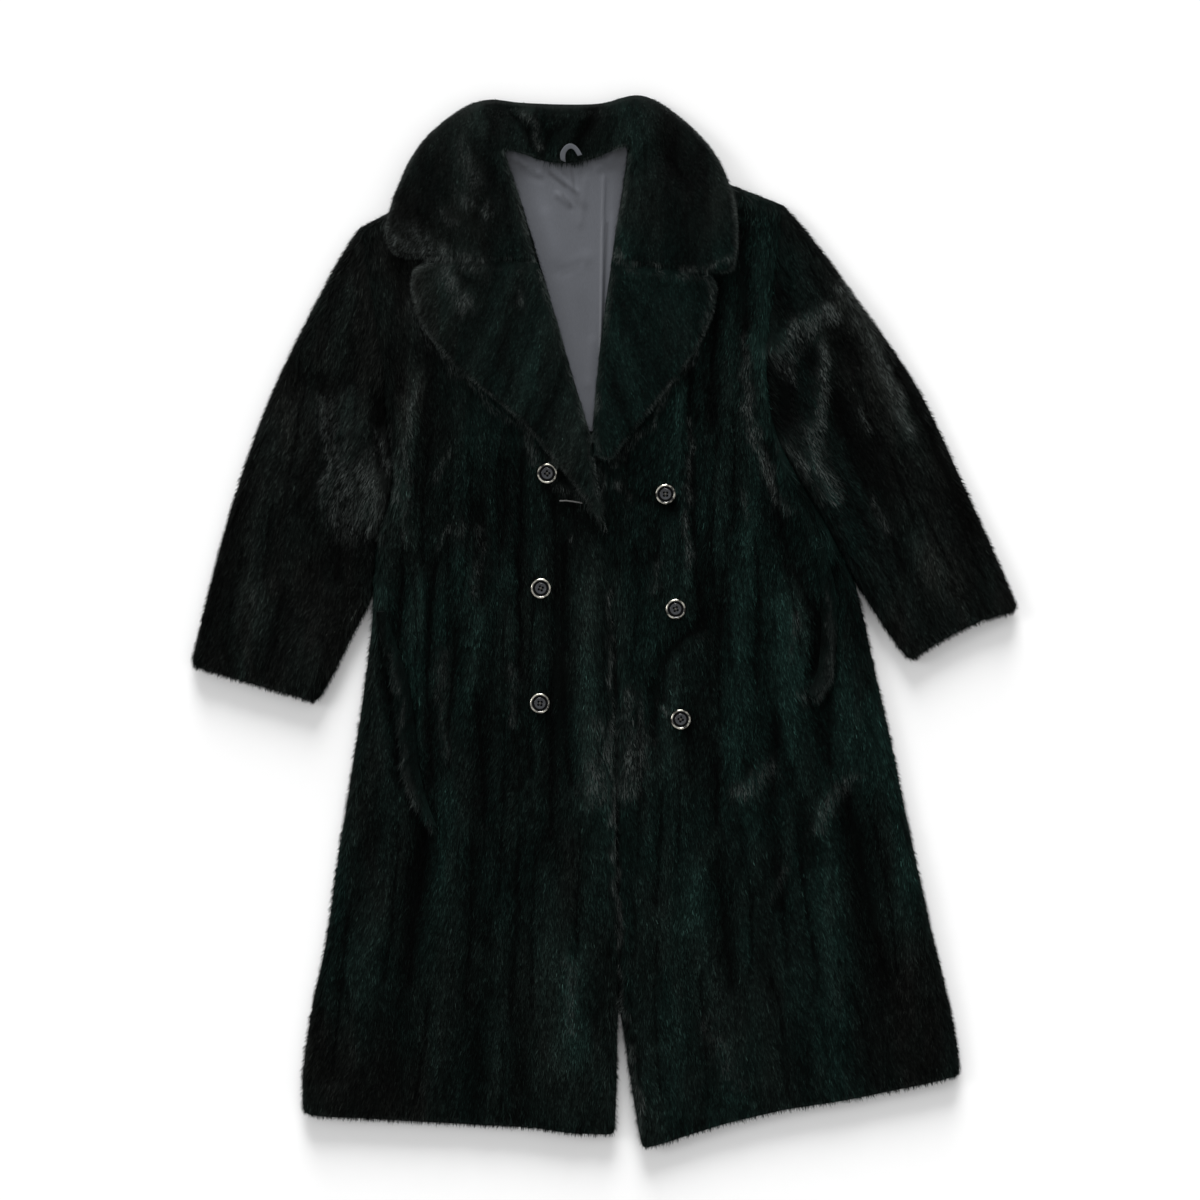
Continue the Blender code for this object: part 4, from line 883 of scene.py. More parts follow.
def make_hairs(row, index, piece, footprint, hair):
    """The hairs of one pelt, as tapered blades that lie along its nap."""
    rng = np.random.default_rng(SEED + 100 + index)
    root, normal = seen_roots(piece, footprint, row.hairs, rng)
    x, y = root[:, 0], root[:, 1]
    count = len(x)
    nap_x, nap_y, across, along = nap_of(row, x, y)
    seed = SEED + 10 * index
    # Hairs lean towards the middle of their tuft and turn slowly over the pelt
    lean = streaks(across + LEAN_STEP, along, seed) - streaks(across - LEAN_STEP, along, seed)
    turn = SLOW_TURN * smooth_noise(x, y, 60, 90, seed + 7)
    turn += TUFT_TURN * smooth_noise(x, y, 16, 24, seed + 8)
    turn += LEAN_TURN * lean + rng.normal(0, CHANCE_TURN, count)
    flat_x = nap_x * np.cos(turn) - nap_y * np.sin(turn)
    flat_y = nap_x * np.sin(turn) + nap_y * np.cos(turn)
    edge = footprint.at("edge", x, y)
    out_x, out_y = footprint.at("out_x", x, y), footprint.at("out_y", x, y)
    next_top = footprint.at("coat", x + FREE_LOOK * out_x, y + FREE_LOOK * out_y)
    free = np.clip((root[:, 2] - FREE_DROP - next_top) / FREE_DROP, 0, 1)
    outward = OUTWARD_PUSH * free * np.clip(1 - edge / OUTWARD_WIDTH, 0, 1) ** OUTWARD_POWER
    direction = np.stack([flat_x + out_x * outward, flat_y + out_y * outward, np.zeros(count)], axis=1)
    direction[:, 2] -= DROOP * (1 - np.clip(normal[:, 2], 0, 1))
    direction = unit(direction)
    length = row.length * hair.length / MM * rng.uniform(*LENGTH_SPREAD, count)
    # Hairs that another piece carries on stay level, so that they close the seam
    next_piece = footprint.at("coat", x + direction[:, 0] * SEAM_LOOK, y + direction[:, 1] * SEAM_LOOK)
    beside = next_piece > np.maximum(root[:, 2] - CARRIED_DROP, FLOOR_CLEAR)
    carried = beside & (edge < SEAM_WIDTH)
    laid = np.where(carried, 0.0, LEVELLING)[:, None]
    tangent = unit(direction - laid * normal * (direction * normal).sum(axis=1)[:, None])
    lift = np.radians(rng.uniform(*LIFTS, count))[:, None]
    reach = (tangent[:, :2] * np.stack([out_x, out_y], axis=1)).sum(axis=1)
    room = (edge + rng.uniform(*RIM_REACHES, count)) / np.maximum(reach, LEAST_REACH)
    length = np.where(carried, CARRIED_LENGTH * length, length)
    share = np.clip(np.where(carried, length, room) / length, SHORTEST_SHARE, 1.0)
    lift = np.maximum(lift, STANDING_SHARE * np.arccos(share)[:, None])
    length = (np.maximum(share, STANDING_LENGTH) * length)[:, None]
    tip = root + (tangent * np.cos(lift) + normal * np.sin(lift)) * length
    roll = np.radians(rng.uniform(-ROLL, ROLL, count))[:, None]
    side = unit(np.cross(tangent, normal))
    side = side * np.cos(roll) + normal * np.sin(roll)
    width = row.length * hair.width / MM * rng.uniform(*WIDTH_SPREAD, count)[:, None] / 2
    width *= np.where(edge < RIM_WIDTH, EDGE_WIDTH_SHARE, 1.0)[:, None]
    sunk = root - normal * ROOT_DEPTH
    vertices = np.stack([sunk - side * width, sunk + side * width, tip], axis=1)
    vertices[:, :, 2] = np.maximum(vertices[:, :, 2], footprint.lowest + HAIR_FLOOR_GAP)
    tone, brown, frost_and_sheen = fur_values(row, index, footprint, x, y)
    tone = tone * rng.lognormal(*HAIR_TONES, count)
    # Painted highlight on the hairs along a free edge, where they catch the light; it joins the frost and
    # painted sheen
    rim = RIM_HIGHLIGHT * free * np.clip(1 - edge / RIM_WIDTH, 0, 1) * row.rim
    rim *= RIM_HIGHLIGHT_PATCHES[0] + RIM_HIGHLIGHT_PATCHES[1] * smooth_noise(x, y, 14, 14, seed + 9)
    frost_and_sheen = np.clip(np.maximum(frost_and_sheen, rim) * HAIR_FROST_AND_SHEEN * rng.random(count) ** 2.0, 0, 1)
    return blades(row.node + "_fur", vertices, tone, brown, frost_and_sheen)


def blades(label, vertices, tone, brown, frost_and_sheen):
    """One mesh of three-point blades, with the values that colour them."""
    count = len(vertices)
    mesh = bpy.data.meshes.new(label)
    mesh.vertices.add(count * 3)
    mesh.vertices.foreach_set("co", (vertices * MM).astype(np.float32).ravel())
    mesh.loops.add(count * 3)
    mesh.loops.foreach_set("vertex_index", np.arange(count * 3, dtype=np.int32))
    mesh.polygons.add(count)
    mesh.polygons.foreach_set("loop_start", np.arange(count, dtype=np.int32) * 3)
    mesh.update(calc_edges=True)
    for name, values in (("tone", tone), ("brown", brown), ("frost_and_sheen", frost_and_sheen)):
        give_values(mesh, name, np.repeat(values, 3))
    give_values(mesh, "tip", np.tile([0.0, 0.0, 1.0], count))
    lay_flat_map(mesh, vertices.reshape(-1, 3))
    piece = bpy.data.objects.new(label, mesh)
    bpy.context.scene.collection.objects.link(piece)
    return piece


# Materials ---------------------------------------------------------------------------------


def socket(tree, kind, name, way, default=None):
    """A named input or output of a node group."""
    made = tree.interface.new_socket(name=name, in_out=way, socket_type=kind)
    if default is not None:
        made.default_value = default
    return made


def fur_colour_group():
    """Node group that turns the values along a hair into its colour."""
    name = "Fur colour"
    if name in bpy.data.node_groups:
        return bpy.data.node_groups[name]
    tree = bpy.data.node_groups.new(name, "ShaderNodeTree")
    for label in ("Tone", "Brown", "Frost and sheen", "Tip"):
        socket(tree, "NodeSocketFloat", label, "INPUT", 0.5)
    for label in ("Green", "Brown black", "Pale"):
        socket(tree, "NodeSocketColor", label, "INPUT", (0.1, 0.1, 0.1, 1.0))
    socket(tree, "NodeSocketFloat", "Root", "INPUT", 0.5)
    socket(tree, "NodeSocketColor", "Color", "OUTPUT")
    given = tree.nodes.new("NodeGroupInput")
    out = tree.nodes.new("NodeGroupOutput")
    hue = mixed(tree, "MIX", given.outputs["Brown"], given.outputs["Green"], given.outputs["Brown black"])
    toned = mixed(tree, "MULTIPLY", 1.0, hue, given.outputs["Tone"])
    depth = tree.nodes.new("ShaderNodeMapRange")
    tree.links.new(given.outputs["Tip"], depth.inputs["Value"])
    tree.links.new(given.outputs["Root"], depth.inputs["To Min"])
    depth.inputs["To Max"].default_value = 1.0
    deep = mixed(tree, "MULTIPLY", 1.0, toned, depth.outputs["Result"])
    # Frost and painted sheen mix the colour towards pale, more at the tips
    pale = tree.nodes.new("ShaderNodeMath")
    pale.operation = "MULTIPLY"
    tree.links.new(given.outputs["Frost and sheen"], pale.inputs[0])
    tree.links.new(depth.outputs["Result"], pale.inputs[1])
    result = mixed(tree, "MIX", pale.outputs[0], deep, given.outputs["Pale"])
    tree.links.new(result, out.inputs["Color"])
    return tree


def mixed(tree, blend, factor, first, second):
    """A colour mix; each of its inputs is an output to link or a plain value."""
    node = tree.nodes.new("ShaderNodeMix")
    node.data_type = "RGBA"
    node.blend_type = blend
    for slot, value in ((0, factor), (6, first), (7, second)):
        if isinstance(value, bpy.types.NodeSocket):
            tree.links.new(value, node.inputs[slot])
        elif isinstance(value, (int, float)):
            node.inputs[slot].default_value = value
        else:
            node.inputs[slot].default_value = (*value[:3], 1.0)
    return node.outputs[2]


def new_material(name, roughness, specular, metallic=0.0):
    """A material with its plain values set on the shader itself."""
    material = bpy.data.materials.new(name)
    material.use_nodes = True
    shader = material.node_tree.nodes["Principled BSDF"]
    shader.inputs["Roughness"].default_value = roughness
    shader.inputs["Specular IOR Level"].default_value = specular
    shader.inputs["Metallic"].default_value = metallic
    return material, material.node_tree, shader


def value_along(tree, name):
    """A value that the mesh carries."""
    node = tree.nodes.new("ShaderNodeAttribute")
    node.attribute_name = name
    return node.outputs["Fac"]


def pattern(tree, scale, turn=0.0, stretch=(1.0, 1.0, 1.0), detail=3.0):
    """Noise in Object coordinates, turned and stretched by a Mapping node."""
    place = tree.nodes.new("ShaderNodeTexCoord")
    mapping = tree.nodes.new("ShaderNodeMapping")
    mapping.inputs["Rotation"].default_value = (0.0, 0.0, turn)
    mapping.inputs["Scale"].default_value = stretch
    noise = tree.nodes.new("ShaderNodeTexNoise")
    noise.inputs["Scale"].default_value = scale
    noise.inputs["Detail"].default_value = detail
    tree.links.new(place.outputs["Object"], mapping.inputs["Vector"])
    tree.links.new(mapping.outputs["Vector"], noise.inputs["Vector"])
    return noise.outputs["Fac"]


def ranged(tree, value, low, high, from_low=0.0, from_high=1.0):
    """A value carried from one range to another."""
    node = tree.nodes.new("ShaderNodeMapRange")
    node.inputs["From Min"].default_value = from_low
    node.inputs["From Max"].default_value = from_high
    node.inputs["To Min"].default_value = low
    node.inputs["To Max"].default_value = high
    tree.links.new(value, node.inputs["Value"])
    return node.outputs["Result"]


def bump(tree, shader, height, distance, strength):
    node = tree.nodes.new("ShaderNodeBump")
    node.inputs["Strength"].default_value = strength
    node.inputs["Distance"].default_value = distance
    tree.links.new(height, node.inputs["Height"])
    tree.links.new(node.outputs["Normal"], shader.inputs["Normal"])


PELT_GRAIN = (420.0, 110.0, 200.0)  # how fine the underfur's grain is along X, Y and Z


def fur_material(name, fur, green, root, tip):
    """Fur whose colour follows the values on the mesh; a pelt has a grain up to tip, a hair its own tip."""
    material, tree, shader = new_material(name, fur.roughness, fur.gloss)
    group = tree.nodes.new("ShaderNodeGroup")
    group.node_tree = fur_colour_group()
    for label, attribute in (("Tone", "tone"), ("Brown", "brown"), ("Frost and sheen", "frost_and_sheen")):
        tree.links.new(value_along(tree, attribute), group.inputs[label])
    if tip is None:
        tree.links.new(value_along(tree, "tip"), group.inputs["Tip"])
    else:
        grain = pattern(tree, 1.0, 0.0, PELT_GRAIN, 4.0)
        tree.links.new(ranged(tree, grain, 0.0, tip), group.inputs["Tip"])
        bump(tree, shader, grain, 0.002, 0.6)
    group.inputs["Green"].default_value = (*green, 1.0)
    group.inputs["Brown black"].default_value = (*fur.brown, 1.0)
    group.inputs["Pale"].default_value = (*fur.pale, 1.0)
    group.inputs["Root"].default_value = root
    tree.links.new(group.outputs["Color"], shader.inputs["Base Color"])
    return material


def satin_material(satin):
    """Woven satin with a faint warp and cloudy sheen."""
    material, tree, shader = new_material("Satin", 0.42, 0.35)
    cloud = pattern(tree, 9.0, 0.3, (1.0, 0.5, 1.0), 2.0)
    thread = pattern(tree, 1.0, 0.0, (2600.0, 300.0, 600.0), 2.0)
    dark = tuple(0.86 * c for c in satin.colour)
    light = tuple(1.12 * c for c in satin.colour)
    base = mixed(tree, "MIX", cloud, dark, light)
    base = mixed(tree, "MULTIPLY", 0.35, base, thread)
    # The tone the satin carries is its painted light and shade
    base = mixed(tree, "MULTIPLY", 1.0, base, value_along(tree, "tone"))
    tree.links.new(base, shader.inputs["Base Color"])
    tree.links.new(ranged(tree, cloud, 0.34, 0.5), shader.inputs["Roughness"])
    bump(tree, shader, thread, 0.0002, 0.25)
    return material


def horn_material(buttons):
    """Polished dark horn with faint marbling."""
    material, tree, shader = new_material("Horn", 0.16, 0.6)
    marble = pattern(tree, 220.0, 0.5, (1.0, 0.4, 1.0), 5.0)
    lighter = tuple(3.0 * c for c in buttons.colour)
    tree.links.new(mixed(tree, "MIX", marble, buttons.colour, lighter), shader.inputs["Base Color"])
    tree.links.new(ranged(tree, marble, 0.1, 0.24), shader.inputs["Roughness"])
    bump(tree, shader, marble, 0.0002, 0.3)
    return material


def groove_material():
    """Near-black, darker than the horn, for the groove and the walls of the sewing holes: painted shade in
    these recesses.
    """
    material, tree, shader = new_material("Groove", 0.7, 0.05)
    grain = pattern(tree, 900.0)
    tree.links.new(mixed(tree, "MIX", grain, (0.001,) * 3, (0.004,) * 3), shader.inputs["Base Color"])
    return material


def rim_material(buttons):
    """The pale polished metal of a button's rim, darkened in random patches as painted reflection, so that
    only parts of it shine.
    """
    material, tree, shader = new_material("Rim", 0.2, 0.5, 1.0)
    # Random patches of the metal are made dark, standing in for the parts of the ring without a bright
    # reflection: painted reflection; they also vary the roughness
    rim_mottle = pattern(tree, 130.0)
    bright_share = ranged(tree, rim_mottle, 0.0, 1.0, 0.42, 0.58)
    dull = tuple(0.07 * c for c in buttons.rim_colour)
    look = mixed(tree, "MIX", bright_share, dull, buttons.rim_colour)
    tree.links.new(look, shader.inputs["Base Color"])
    tree.links.new(ranged(tree, rim_mottle, 0.14, 0.34), shader.inputs["Roughness"])
    bump(tree, shader, rim_mottle, 0.0003, 0.4)
    return material


def thread_material(name, colour, scale):
    """Twisted sewing thread."""
    material, tree, shader = new_material(name, 0.6, 0.3)
    twist = pattern(tree, 1.0, 0.7, (scale, 0.25 * scale, scale), 2.0)
    dark = tuple(0.5 * c for c in colour)
    tree.links.new(mixed(tree, "MIX", twist, dark, colour), shader.inputs["Base Color"])
    bump(tree, shader, twist, 0.0003, 0.6)
    return material


def finished(piece, materials, slot, *nodes):
    """Gives a piece its materials and its place in the frame."""
    for material in materials:
        piece.data.materials.append(material)
    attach(piece, BODY)
    if nodes:
        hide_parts(*nodes)


# Lining, loop, buttons and hook eye ----------------------------------------------------------


def make_satin(name, label, levels, creases):
    """A thin satin piece with the form of its solid and soft creases."""
    piece = copied(name, label)
    finish_with(piece, "Form", "SUBSURF", levels=levels, render_levels=levels)
    places, _ = points_of(piece.data)
    if creases:
        height = SATIN_CREASE_GAIN * marked(creases, places[:, 0], places[:, 1]).sum(axis=0)
        places[:, 2] += np.maximum(height, DEEPEST_SATIN)
        tucked = np.clip((places[:, 1] - TUCK_FROM_Y) / TUCK_LENGTH, 0, 1)
        places[:, 1] += TUCK_DEPTH * tucked**2
    place_points(piece.data, places)
    # Painted light and shade on the satin's folds and gathers
    painted_satin_light = marked(SATIN_LIGHT_AND_SHADE, places[:, 0], places[:, 1]).sum(axis=0)
    give_values(piece.data, "tone", 1.0 + painted_satin_light)
    smooth(piece.data)
    lay_flat_map(piece.data, places)
    return piece


# A button's top, from its edge to its middle: how far each step goes in and up, in millimetres
BUTTON_STEPS = [
    (0.35, 1.35),
    (0.75, 0.45),
    (0.9, 0.0),
    (0.6, -0.5),
    (0.7, -0.9),
    (1.5, 0.0),
    (0.7, 0.8),
    (0.9, 0.05),
    (1.2, -0.6),
    (1.6, -0.3),
]
BUTTON_RADIUS = 12.0
BUTTON_TURNS = 64
BUTTON_FOOT_SHARE = 0.86  # how wide the underside is, of the top
BUTTON_SIDE = 2.3  # height of the side
BUTTON_BEVEL = 0.22
BUTTON_FLAT = 0.9  # faces whose normals stand this steep belong to the top or the underside
BUTTON_SMOOTH_DEGREES = 35
BUTTON_TURN_DEGREES = 17  # how far each button is turned from the one before
RIM_INNER_RADIUS = 9.8
GROOVE_RADII = (6.6, 9.3)
HOLE_RADIUS = 1.5
HOLE_CENTRE = 2.5  # distance of a hole from the button's middle
HOLE_TURNS = 20
HOLE_DEPTH = 12.0
HOLE_WALL = 0.1  # faces of a hole's wall are less steep than this
THREAD_RADIUS = 0.4
THREAD_REACH = 1.9  # half of a thread's length
THREAD_HEIGHT = 2.9  # level of its middle
THREAD_FALL = 1.6  # how far its ends go down into the holes


def select_faces(mesh, test):
    """Selects, in edit mode, the faces that pass the test."""
    work = bmesh.from_edit_mesh(mesh)
    for face in work.faces:
        face.select = test(face)
    work.select_flush_mode()
    bmesh.update_edit_mesh(mesh)


def make_button_body():
    """A round button with a raised rim, a groove and a dished middle."""
    bpy.ops.object.select_all(action="DESELECT")
    bpy.ops.mesh.primitive_cylinder_add(
        vertices=BUTTON_TURNS, radius=BUTTON_RADIUS * MM, depth=BUTTON_SIDE * MM,
        location=(0, 0, BUTTON_SIDE * MM / 2),
    )
    piece = bpy.context.object
    bpy.ops.object.transform_apply(location=True)
    bpy.ops.object.mode_set(mode="EDIT")
    bpy.ops.mesh.select_mode(type="FACE")
    select_faces(piece.data, lambda face: face.normal.z < -BUTTON_FLAT)
    bpy.ops.transform.resize(value=(BUTTON_FOOT_SHARE, BUTTON_FOOT_SHARE, 1.0))
    select_faces(piece.data, lambda face: face.normal.z > BUTTON_FLAT)
    for inward, upward in BUTTON_STEPS:
        bpy.ops.mesh.inset(thickness=inward * MM)
        bpy.ops.transform.translate(value=(0, 0, upward * MM))
    bpy.ops.object.mode_set(mode="OBJECT")
    finish_with(
        piece, "Edge", "BEVEL", width=BUTTON_BEVEL * MM, segments=3, limit_method="ANGLE",
        angle_limit=math.radians(24),
    )
    return piece


def drill_holes(piece):
    """Cuts the four sewing holes through a button."""
    for turn in range(4):
        angle = math.radians(45 + 90 * turn)
        bpy.ops.object.select_all(action="DESELECT")
        bpy.ops.mesh.primitive_cylinder_add(
            vertices=HOLE_TURNS, radius=HOLE_RADIUS * MM, depth=HOLE_DEPTH * MM,
            location=(HOLE_CENTRE * MM * math.cos(angle), HOLE_CENTRE * MM * math.sin(angle), 0),
        )
        bit = bpy.context.object
        finish_with(piece, "Cut", "BOOLEAN", object=bit, operation="DIFFERENCE", solver="EXACT")
        bpy.data.objects.remove(bit)


def make_thread():
    """Two bars of thread that cross between the holes."""
    bpy.ops.object.select_all(action="DESELECT")
    bars = []
    for turn in (45, 135):
        bpy.ops.mesh.primitive_cylinder_add(
            vertices=12, radius=THREAD_RADIUS * MM, depth=2 * THREAD_REACH * MM, location=(0, 0, 0),
            rotation=(0, math.pi / 2, math.radians(turn)),
        )
        bars.append(bpy.context.object)
    for bar in bars:
        bar.select_set(True)
    bpy.context.view_layer.objects.active = bars[0]
    bpy.ops.object.join()
    piece = bpy.context.object
    bpy.ops.object.transform_apply(location=True, rotation=True, scale=True)
    bpy.ops.object.mode_set(mode="EDIT")
    bpy.ops.mesh.select_all(action="SELECT")
    bpy.ops.mesh.subdivide(number_cuts=3)
    bpy.ops.object.mode_set(mode="OBJECT")
    places, _ = points_of(piece.data)
    reach = np.hypot(places[:, 0], places[:, 1]) / THREAD_REACH
    places[:, 2] += THREAD_HEIGHT - THREAD_FALL * np.clip(reach, 0, 1) ** 3
    place_points(piece.data, places)
    return piece


def copy_to(piece, label, x, y, z, turn):
    """A copy with its own mesh, placed in the mesh."""
    made = piece.copy()
    made.data = piece.data.copy()
    made.name = label
    made.data.name = label
    bpy.context.scene.collection.objects.link(made)
    places, _ = points_of(made.data)
    c, s = math.cos(turn), math.sin(turn)
    turned = np.array(((c, -s, 0), (s, c, 0), (0, 0, 1)))
    place_points(made.data, places @ turned.T + np.array((x, y, z)))
    return made


# Stage ---------------------------------------------------------------------------------------

FLOOR_SIZE = 9.0  # metres
VIEW_CENTRE = (-6.5, 24.3)  # millimetres
VIEW_WIDTH = 1424.4
CAMERA_HEIGHT = 6.0  # metres
SENSOR_WIDTH = 36.0
FLOOR_GRAIN_SHARE = 0.985  # lightness of the paper's darker grain, of the floor's


def aimed(thing, target):
    """Turns a light or the camera towards a point."""
    direction = Vector(target) - thing.location
    thing.rotation_euler = direction.to_track_quat("-Z", "Y").to_euler()


def add_sun(name, direction, softness, strength):
    """A broad, distant lamp that shines from a direction."""
    bpy.ops.object.light_add(type="SUN", location=direction)
    lamp = bpy.context.object
    lamp.name = name
    lamp.data.angle = math.radians(softness)
    lamp.data.energy = strength
    aimed(lamp, (0, 0, 0))


def make_stage(stage):
    """Pale floor, soft studio light and the camera straight above the coat."""
    bpy.ops.object.select_all(action="DESELECT")
    bpy.ops.mesh.primitive_plane_add(size=FLOOR_SIZE, location=(0, 0, 0))
    floor = bpy.context.object
    floor.name = "floor"
    material, tree, shader = new_material("Floor paper", 0.9, 0.1)
    paper = pattern(tree, 40.0)
    tone = stage.floor_tone
    low, high = (tone * FLOOR_GRAIN_SHARE,) * 3, (tone,) * 3
    tree.links.new(mixed(tree, "MIX", paper, low, high), shader.inputs["Base Color"])
    floor.data.materials.append(material)
    world = bpy.data.worlds.new("Studio")
    world.use_nodes = True
    world.node_tree.nodes["Background"].inputs["Color"].default_value = (1.0, 1.0, 1.0, 1.0)
    world.node_tree.nodes["Background"].inputs["Strength"].default_value = stage.room_light
    bpy.context.scene.world = world
    add_sun("key", (-0.15, 3.0, 0.86), 30.0, stage.key_strength)
    add_sun("side", (-2.4, 0.6, 1.6), 20.0, stage.side_strength)
    bpy.ops.object.camera_add(location=(VIEW_CENTRE[0] * MM, VIEW_CENTRE[1] * MM, CAMERA_HEIGHT))
    camera = bpy.context.object
    camera.rotation_euler = (0, 0, 0)
    camera.data.sensor_width = SENSOR_WIDTH
    camera.data.lens = SENSOR_WIDTH * CAMERA_HEIGHT / (VIEW_WIDTH * MM)
    camera.data.clip_end = 40.0
    bpy.context.scene.camera = camera
    bpy.context.scene.view_settings.view_transform = "Standard"


# Settings and operators ----------------------------------------------------------------------


class FurSettings(bpy.types.PropertyGroup):
    """Sizes and colours of the fur."""

    length: bpy.props.FloatProperty(
        name="Hair length", description="Length of a full guard hair", default=0.0092, unit="LENGTH"
    )
    width: bpy.props.FloatProperty(
        name="Hair width", description="Width of a lock of hairs at its root", default=0.0011, unit="LENGTH"
    )
    pile: bpy.props.FloatProperty(
        name="Pile depth", description="How far the pelt lies inside its solid", default=0.0026, unit="LENGTH"
    )
    green: bpy.props.FloatVectorProperty(
        name="Dyed green", description="Colour of the dyed fur", default=(0.0032, 0.0086, 0.0072),
        subtype="COLOR", size=3,
    )
    sleeve: bpy.props.FloatVectorProperty(
        name="Sleeve green", description="Colour of the dyed fur of the sleeves",
        default=(0.0030, 0.0079, 0.0067), subtype="COLOR", size=3,
    )
    brown: bpy.props.FloatVectorProperty(
        name="Brown black", description="Colour where the dye is weak", default=(0.0062, 0.0072, 0.0064),
        subtype="COLOR", size=3,
    )
    # pale is the colour of hairs that stand open and of the painted sheen and highlights
    pale: bpy.props.FloatVectorProperty(
        name="Pale frost and sheen", description="Colour where the hairs stand open", default=(0.086, 0.099, 0.094),
        subtype="COLOR", size=3,
    )
    roughness: bpy.props.FloatProperty(
        name="Roughness", description="How dull the hairs are", default=0.5, subtype="FACTOR"
    )
    gloss: bpy.props.FloatProperty(
        name="Gloss", description="Strength of the hairs' reflections", default=0.02, subtype="FACTOR"
    )


class SatinSettings(bpy.types.PropertyGroup):
    """Colour of the lining."""

    colour: bpy.props.FloatVectorProperty(
        name="Satin", description="Colour of the satin lining", default=(0.107, 0.113, 0.129),
        subtype="COLOR", size=3,
    )


class ButtonSettings(bpy.types.PropertyGroup):
    """Colours of the buttons."""

    colour: bpy.props.FloatVectorProperty(
        name="Horn", description="Colour of the horn", default=(0.010, 0.011, 0.013), subtype="COLOR", size=3
    )
    rim_colour: bpy.props.FloatVectorProperty(
        name="Rim", description="Colour of the metal rim", default=(0.62, 0.60, 0.52), subtype="COLOR", size=3
    )


class StageSettings(bpy.types.PropertyGroup):
    """Light and floor."""

    floor_tone: bpy.props.FloatProperty(
        name="Floor", description="Lightness of the floor", default=0.93, subtype="FACTOR"
    )
    room_light: bpy.props.FloatProperty(
        name="Room light", description="Strength of the light from all round", default=0.60
    )
    key_strength: bpy.props.FloatProperty(
        name="Key light", description="Strength of the low lamp above the collar", default=4.9
    )
    side_strength: bpy.props.FloatProperty(
        name="Side light", description="Strength of the lamp beside the coat", default=0.6
    )


class MakePelts(bpy.types.Operator):
    """Pelts and hairs of every fur piece"""

    bl_idname = "fur_coat.make_pelts"
    bl_label = "Make the fur"

    def execute(self, context):
        fur = context.scene.fur_coat_fur
        chart = Chart(*CAD_BOX)
        names = sorted(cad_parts)
        coat_top, coat_which = chart.heights([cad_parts[name] for name in names])
        looks = {
            "body_fur": (
                fur_material("Body pelt", fur, fur.green, 0.3, 0.8),
                fur_material("Body hairs", fur, fur.green, 0.35, None),
            ),
            "sleeve_fur": (
                fur_material("Sleeve pelt", fur, fur.sleeve, 0.3, 0.8),
                fur_material("Sleeve hairs", fur, fur.sleeve, 0.35, None),
            ),
        }
        for index, row in enumerate(PELTS):
            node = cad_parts[row.node]
            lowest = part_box(row.node)[0].z / MM
            footprint = Footprint(chart, node, names.index(row.node), coat_top, coat_which, lowest)
            pelt_look, hair_look = looks[row.finish]
            piece = make_pelt(row, index, footprint, fur.pile / MM)
            finished(piece, [pelt_look], row.finish, row.node)
            hairs = make_hairs(row, index, piece, footprint, fur)
            finished(hairs, [hair_look], row.finish)
        return {"FINISHED"}


class MakeLining(bpy.types.Operator):
    """Satin lining and hanger loop"""

    bl_idname = "fur_coat.make_lining"
    bl_label = "Make the lining"

    def execute(self, context):
        satin = satin_material(context.scene.fur_coat_satin)
        lining = make_satin("lining", "lining_satin", 3, SATIN_CREASES)
        finished(lining, [satin], "satin", "lining")
        loop = make_satin("hanger_loop", "hanger_loop_satin", 2, [])
        finished(loop, [satin], "satin", "hanger_loop")
        return {"FINISHED"}


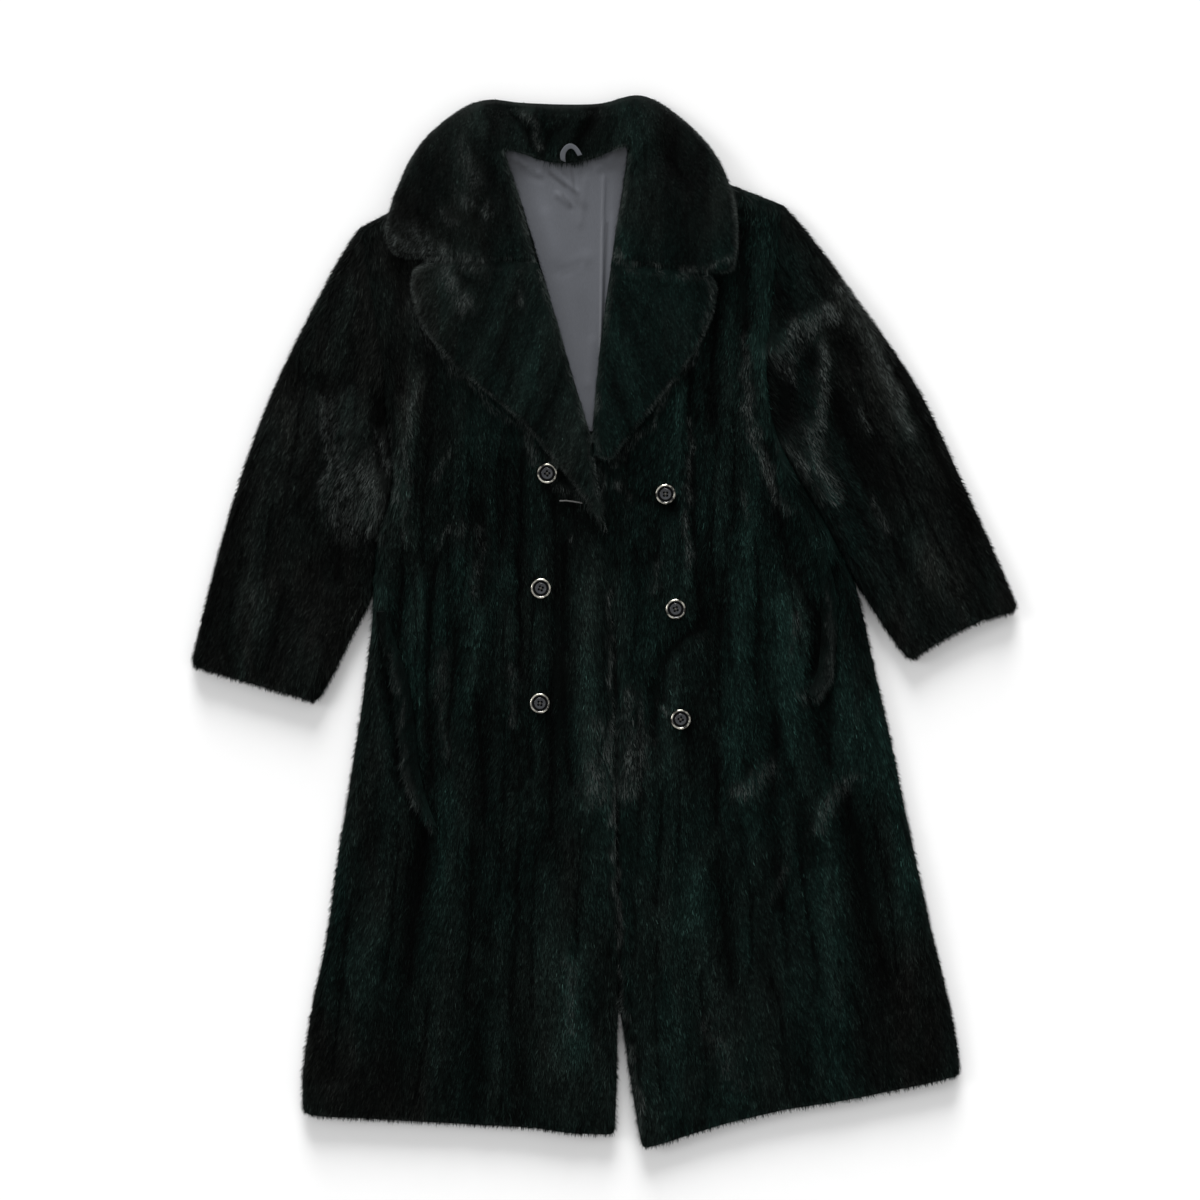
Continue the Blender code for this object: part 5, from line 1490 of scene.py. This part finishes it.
class MakeButtons(bpy.types.Operator):
    """The six buttons with their sewing thread"""

    bl_idname = "fur_coat.make_buttons"
    bl_label = "Make the buttons"

    def execute(self, context):
        settings = context.scene.fur_coat_buttons
        horn, rim = horn_material(settings), rim_material(settings)
        thread = thread_material("Button thread", (0.09, 0.085, 0.07), 2600.0)
        body = make_button_body()
        drill_holes(body)
        for look in (horn, rim, groove_material()):
            body.data.materials.append(look)
        for face in body.data.polygons:
            reach = math.hypot(face.center.x, face.center.y) / MM
            # The groove and the walls of the holes take the near-black painted shade
            in_groove = GROOVE_RADII[0] < reach < GROOVE_RADII[1]
            in_hole = abs(face.normal.z) < HOLE_WALL and reach < HOLE_CENTRE + HOLE_RADIUS
            face.material_index = 2 if in_groove or in_hole else int(reach > RIM_INNER_RADIUS)
        bpy.ops.object.select_all(action="DESELECT")
        body.select_set(True)
        bpy.context.view_layer.objects.active = body
        bpy.ops.object.shade_smooth_by_angle(angle=math.radians(BUTTON_SMOOTH_DEGREES))
        bar = make_thread()
        bar.data.materials.append(thread)
        for index, name in enumerate(n for n in sorted(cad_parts) if n.startswith("button")):
            low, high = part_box(name)
            middle = (low + high) / 2 / MM
            turn = math.radians(BUTTON_TURN_DEGREES * index)
            made = copy_to(body, name + "_horn", middle.x, middle.y, low.z / MM, turn)
            finished(made, [], "horn", name)
            sewn = copy_to(bar, name + "_thread", middle.x, middle.y, low.z / MM, turn)
            finished(sewn, [], "")
        bpy.data.objects.remove(body)
        bpy.data.objects.remove(bar)
        return {"FINISHED"}


class MakeHookEye(bpy.types.Operator):
    """Wire eye of the hook, given the look of wound thread"""

    bl_idname = "fur_coat.make_hook_eye"
    bl_label = "Make the hook eye"

    def execute(self, context):
        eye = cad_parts["hook_eye"]
        wound = thread_material("Wound wire", (0.12, 0.12, 0.115), 3000.0)
        for place in eye.material_slots:
            place.material = wound
        return {"FINISHED"}


class MakeStage(bpy.types.Operator):
    """Floor, lights and camera"""

    bl_idname = "fur_coat.make_stage"
    bl_label = "Make the stage"

    def execute(self, context):
        make_stage(context.scene.fur_coat_stage)
        return {"FINISHED"}


class FurCoatPanel(bpy.types.Panel):
    """Sidebar panel with the coat's settings and steps"""

    bl_idname = "VIEW3D_PT_fur_coat"
    bl_label = "Fur coat"
    bl_space_type = "VIEW_3D"
    bl_region_type = "UI"
    bl_category = "Fur coat"

    def draw(self, context):
        for group in SETTINGS:
            settings = getattr(context.scene, group)
            for name in settings.bl_rna.properties.keys():
                if name not in ("rna_type", "name"):
                    self.layout.prop(settings, name)
        for operator in OPERATORS:
            self.layout.operator(operator.bl_idname)


SETTINGS = {
    "fur_coat_fur": FurSettings,
    "fur_coat_satin": SatinSettings,
    "fur_coat_buttons": ButtonSettings,
    "fur_coat_stage": StageSettings,
}
OPERATORS = (MakePelts, MakeLining, MakeButtons, MakeHookEye, MakeStage)


def register():
    for group in (*SETTINGS.values(), *OPERATORS, FurCoatPanel):
        bpy.utils.register_class(group)
    for name, group in SETTINGS.items():
        setattr(bpy.types.Scene, name, bpy.props.PointerProperty(type=group))


def unregister():
    for name in SETTINGS:
        delattr(bpy.types.Scene, name)
    for group in (FurCoatPanel, *reversed(OPERATORS), *SETTINGS.values()):
        bpy.utils.unregister_class(group)


def main():
    register()
    bpy.ops.fur_coat.make_pelts()
    bpy.ops.fur_coat.make_lining()
    bpy.ops.fur_coat.make_buttons()
    bpy.ops.fur_coat.make_hook_eye()
    bpy.ops.fur_coat.make_stage()


if __name__ == "__main__":
    main()
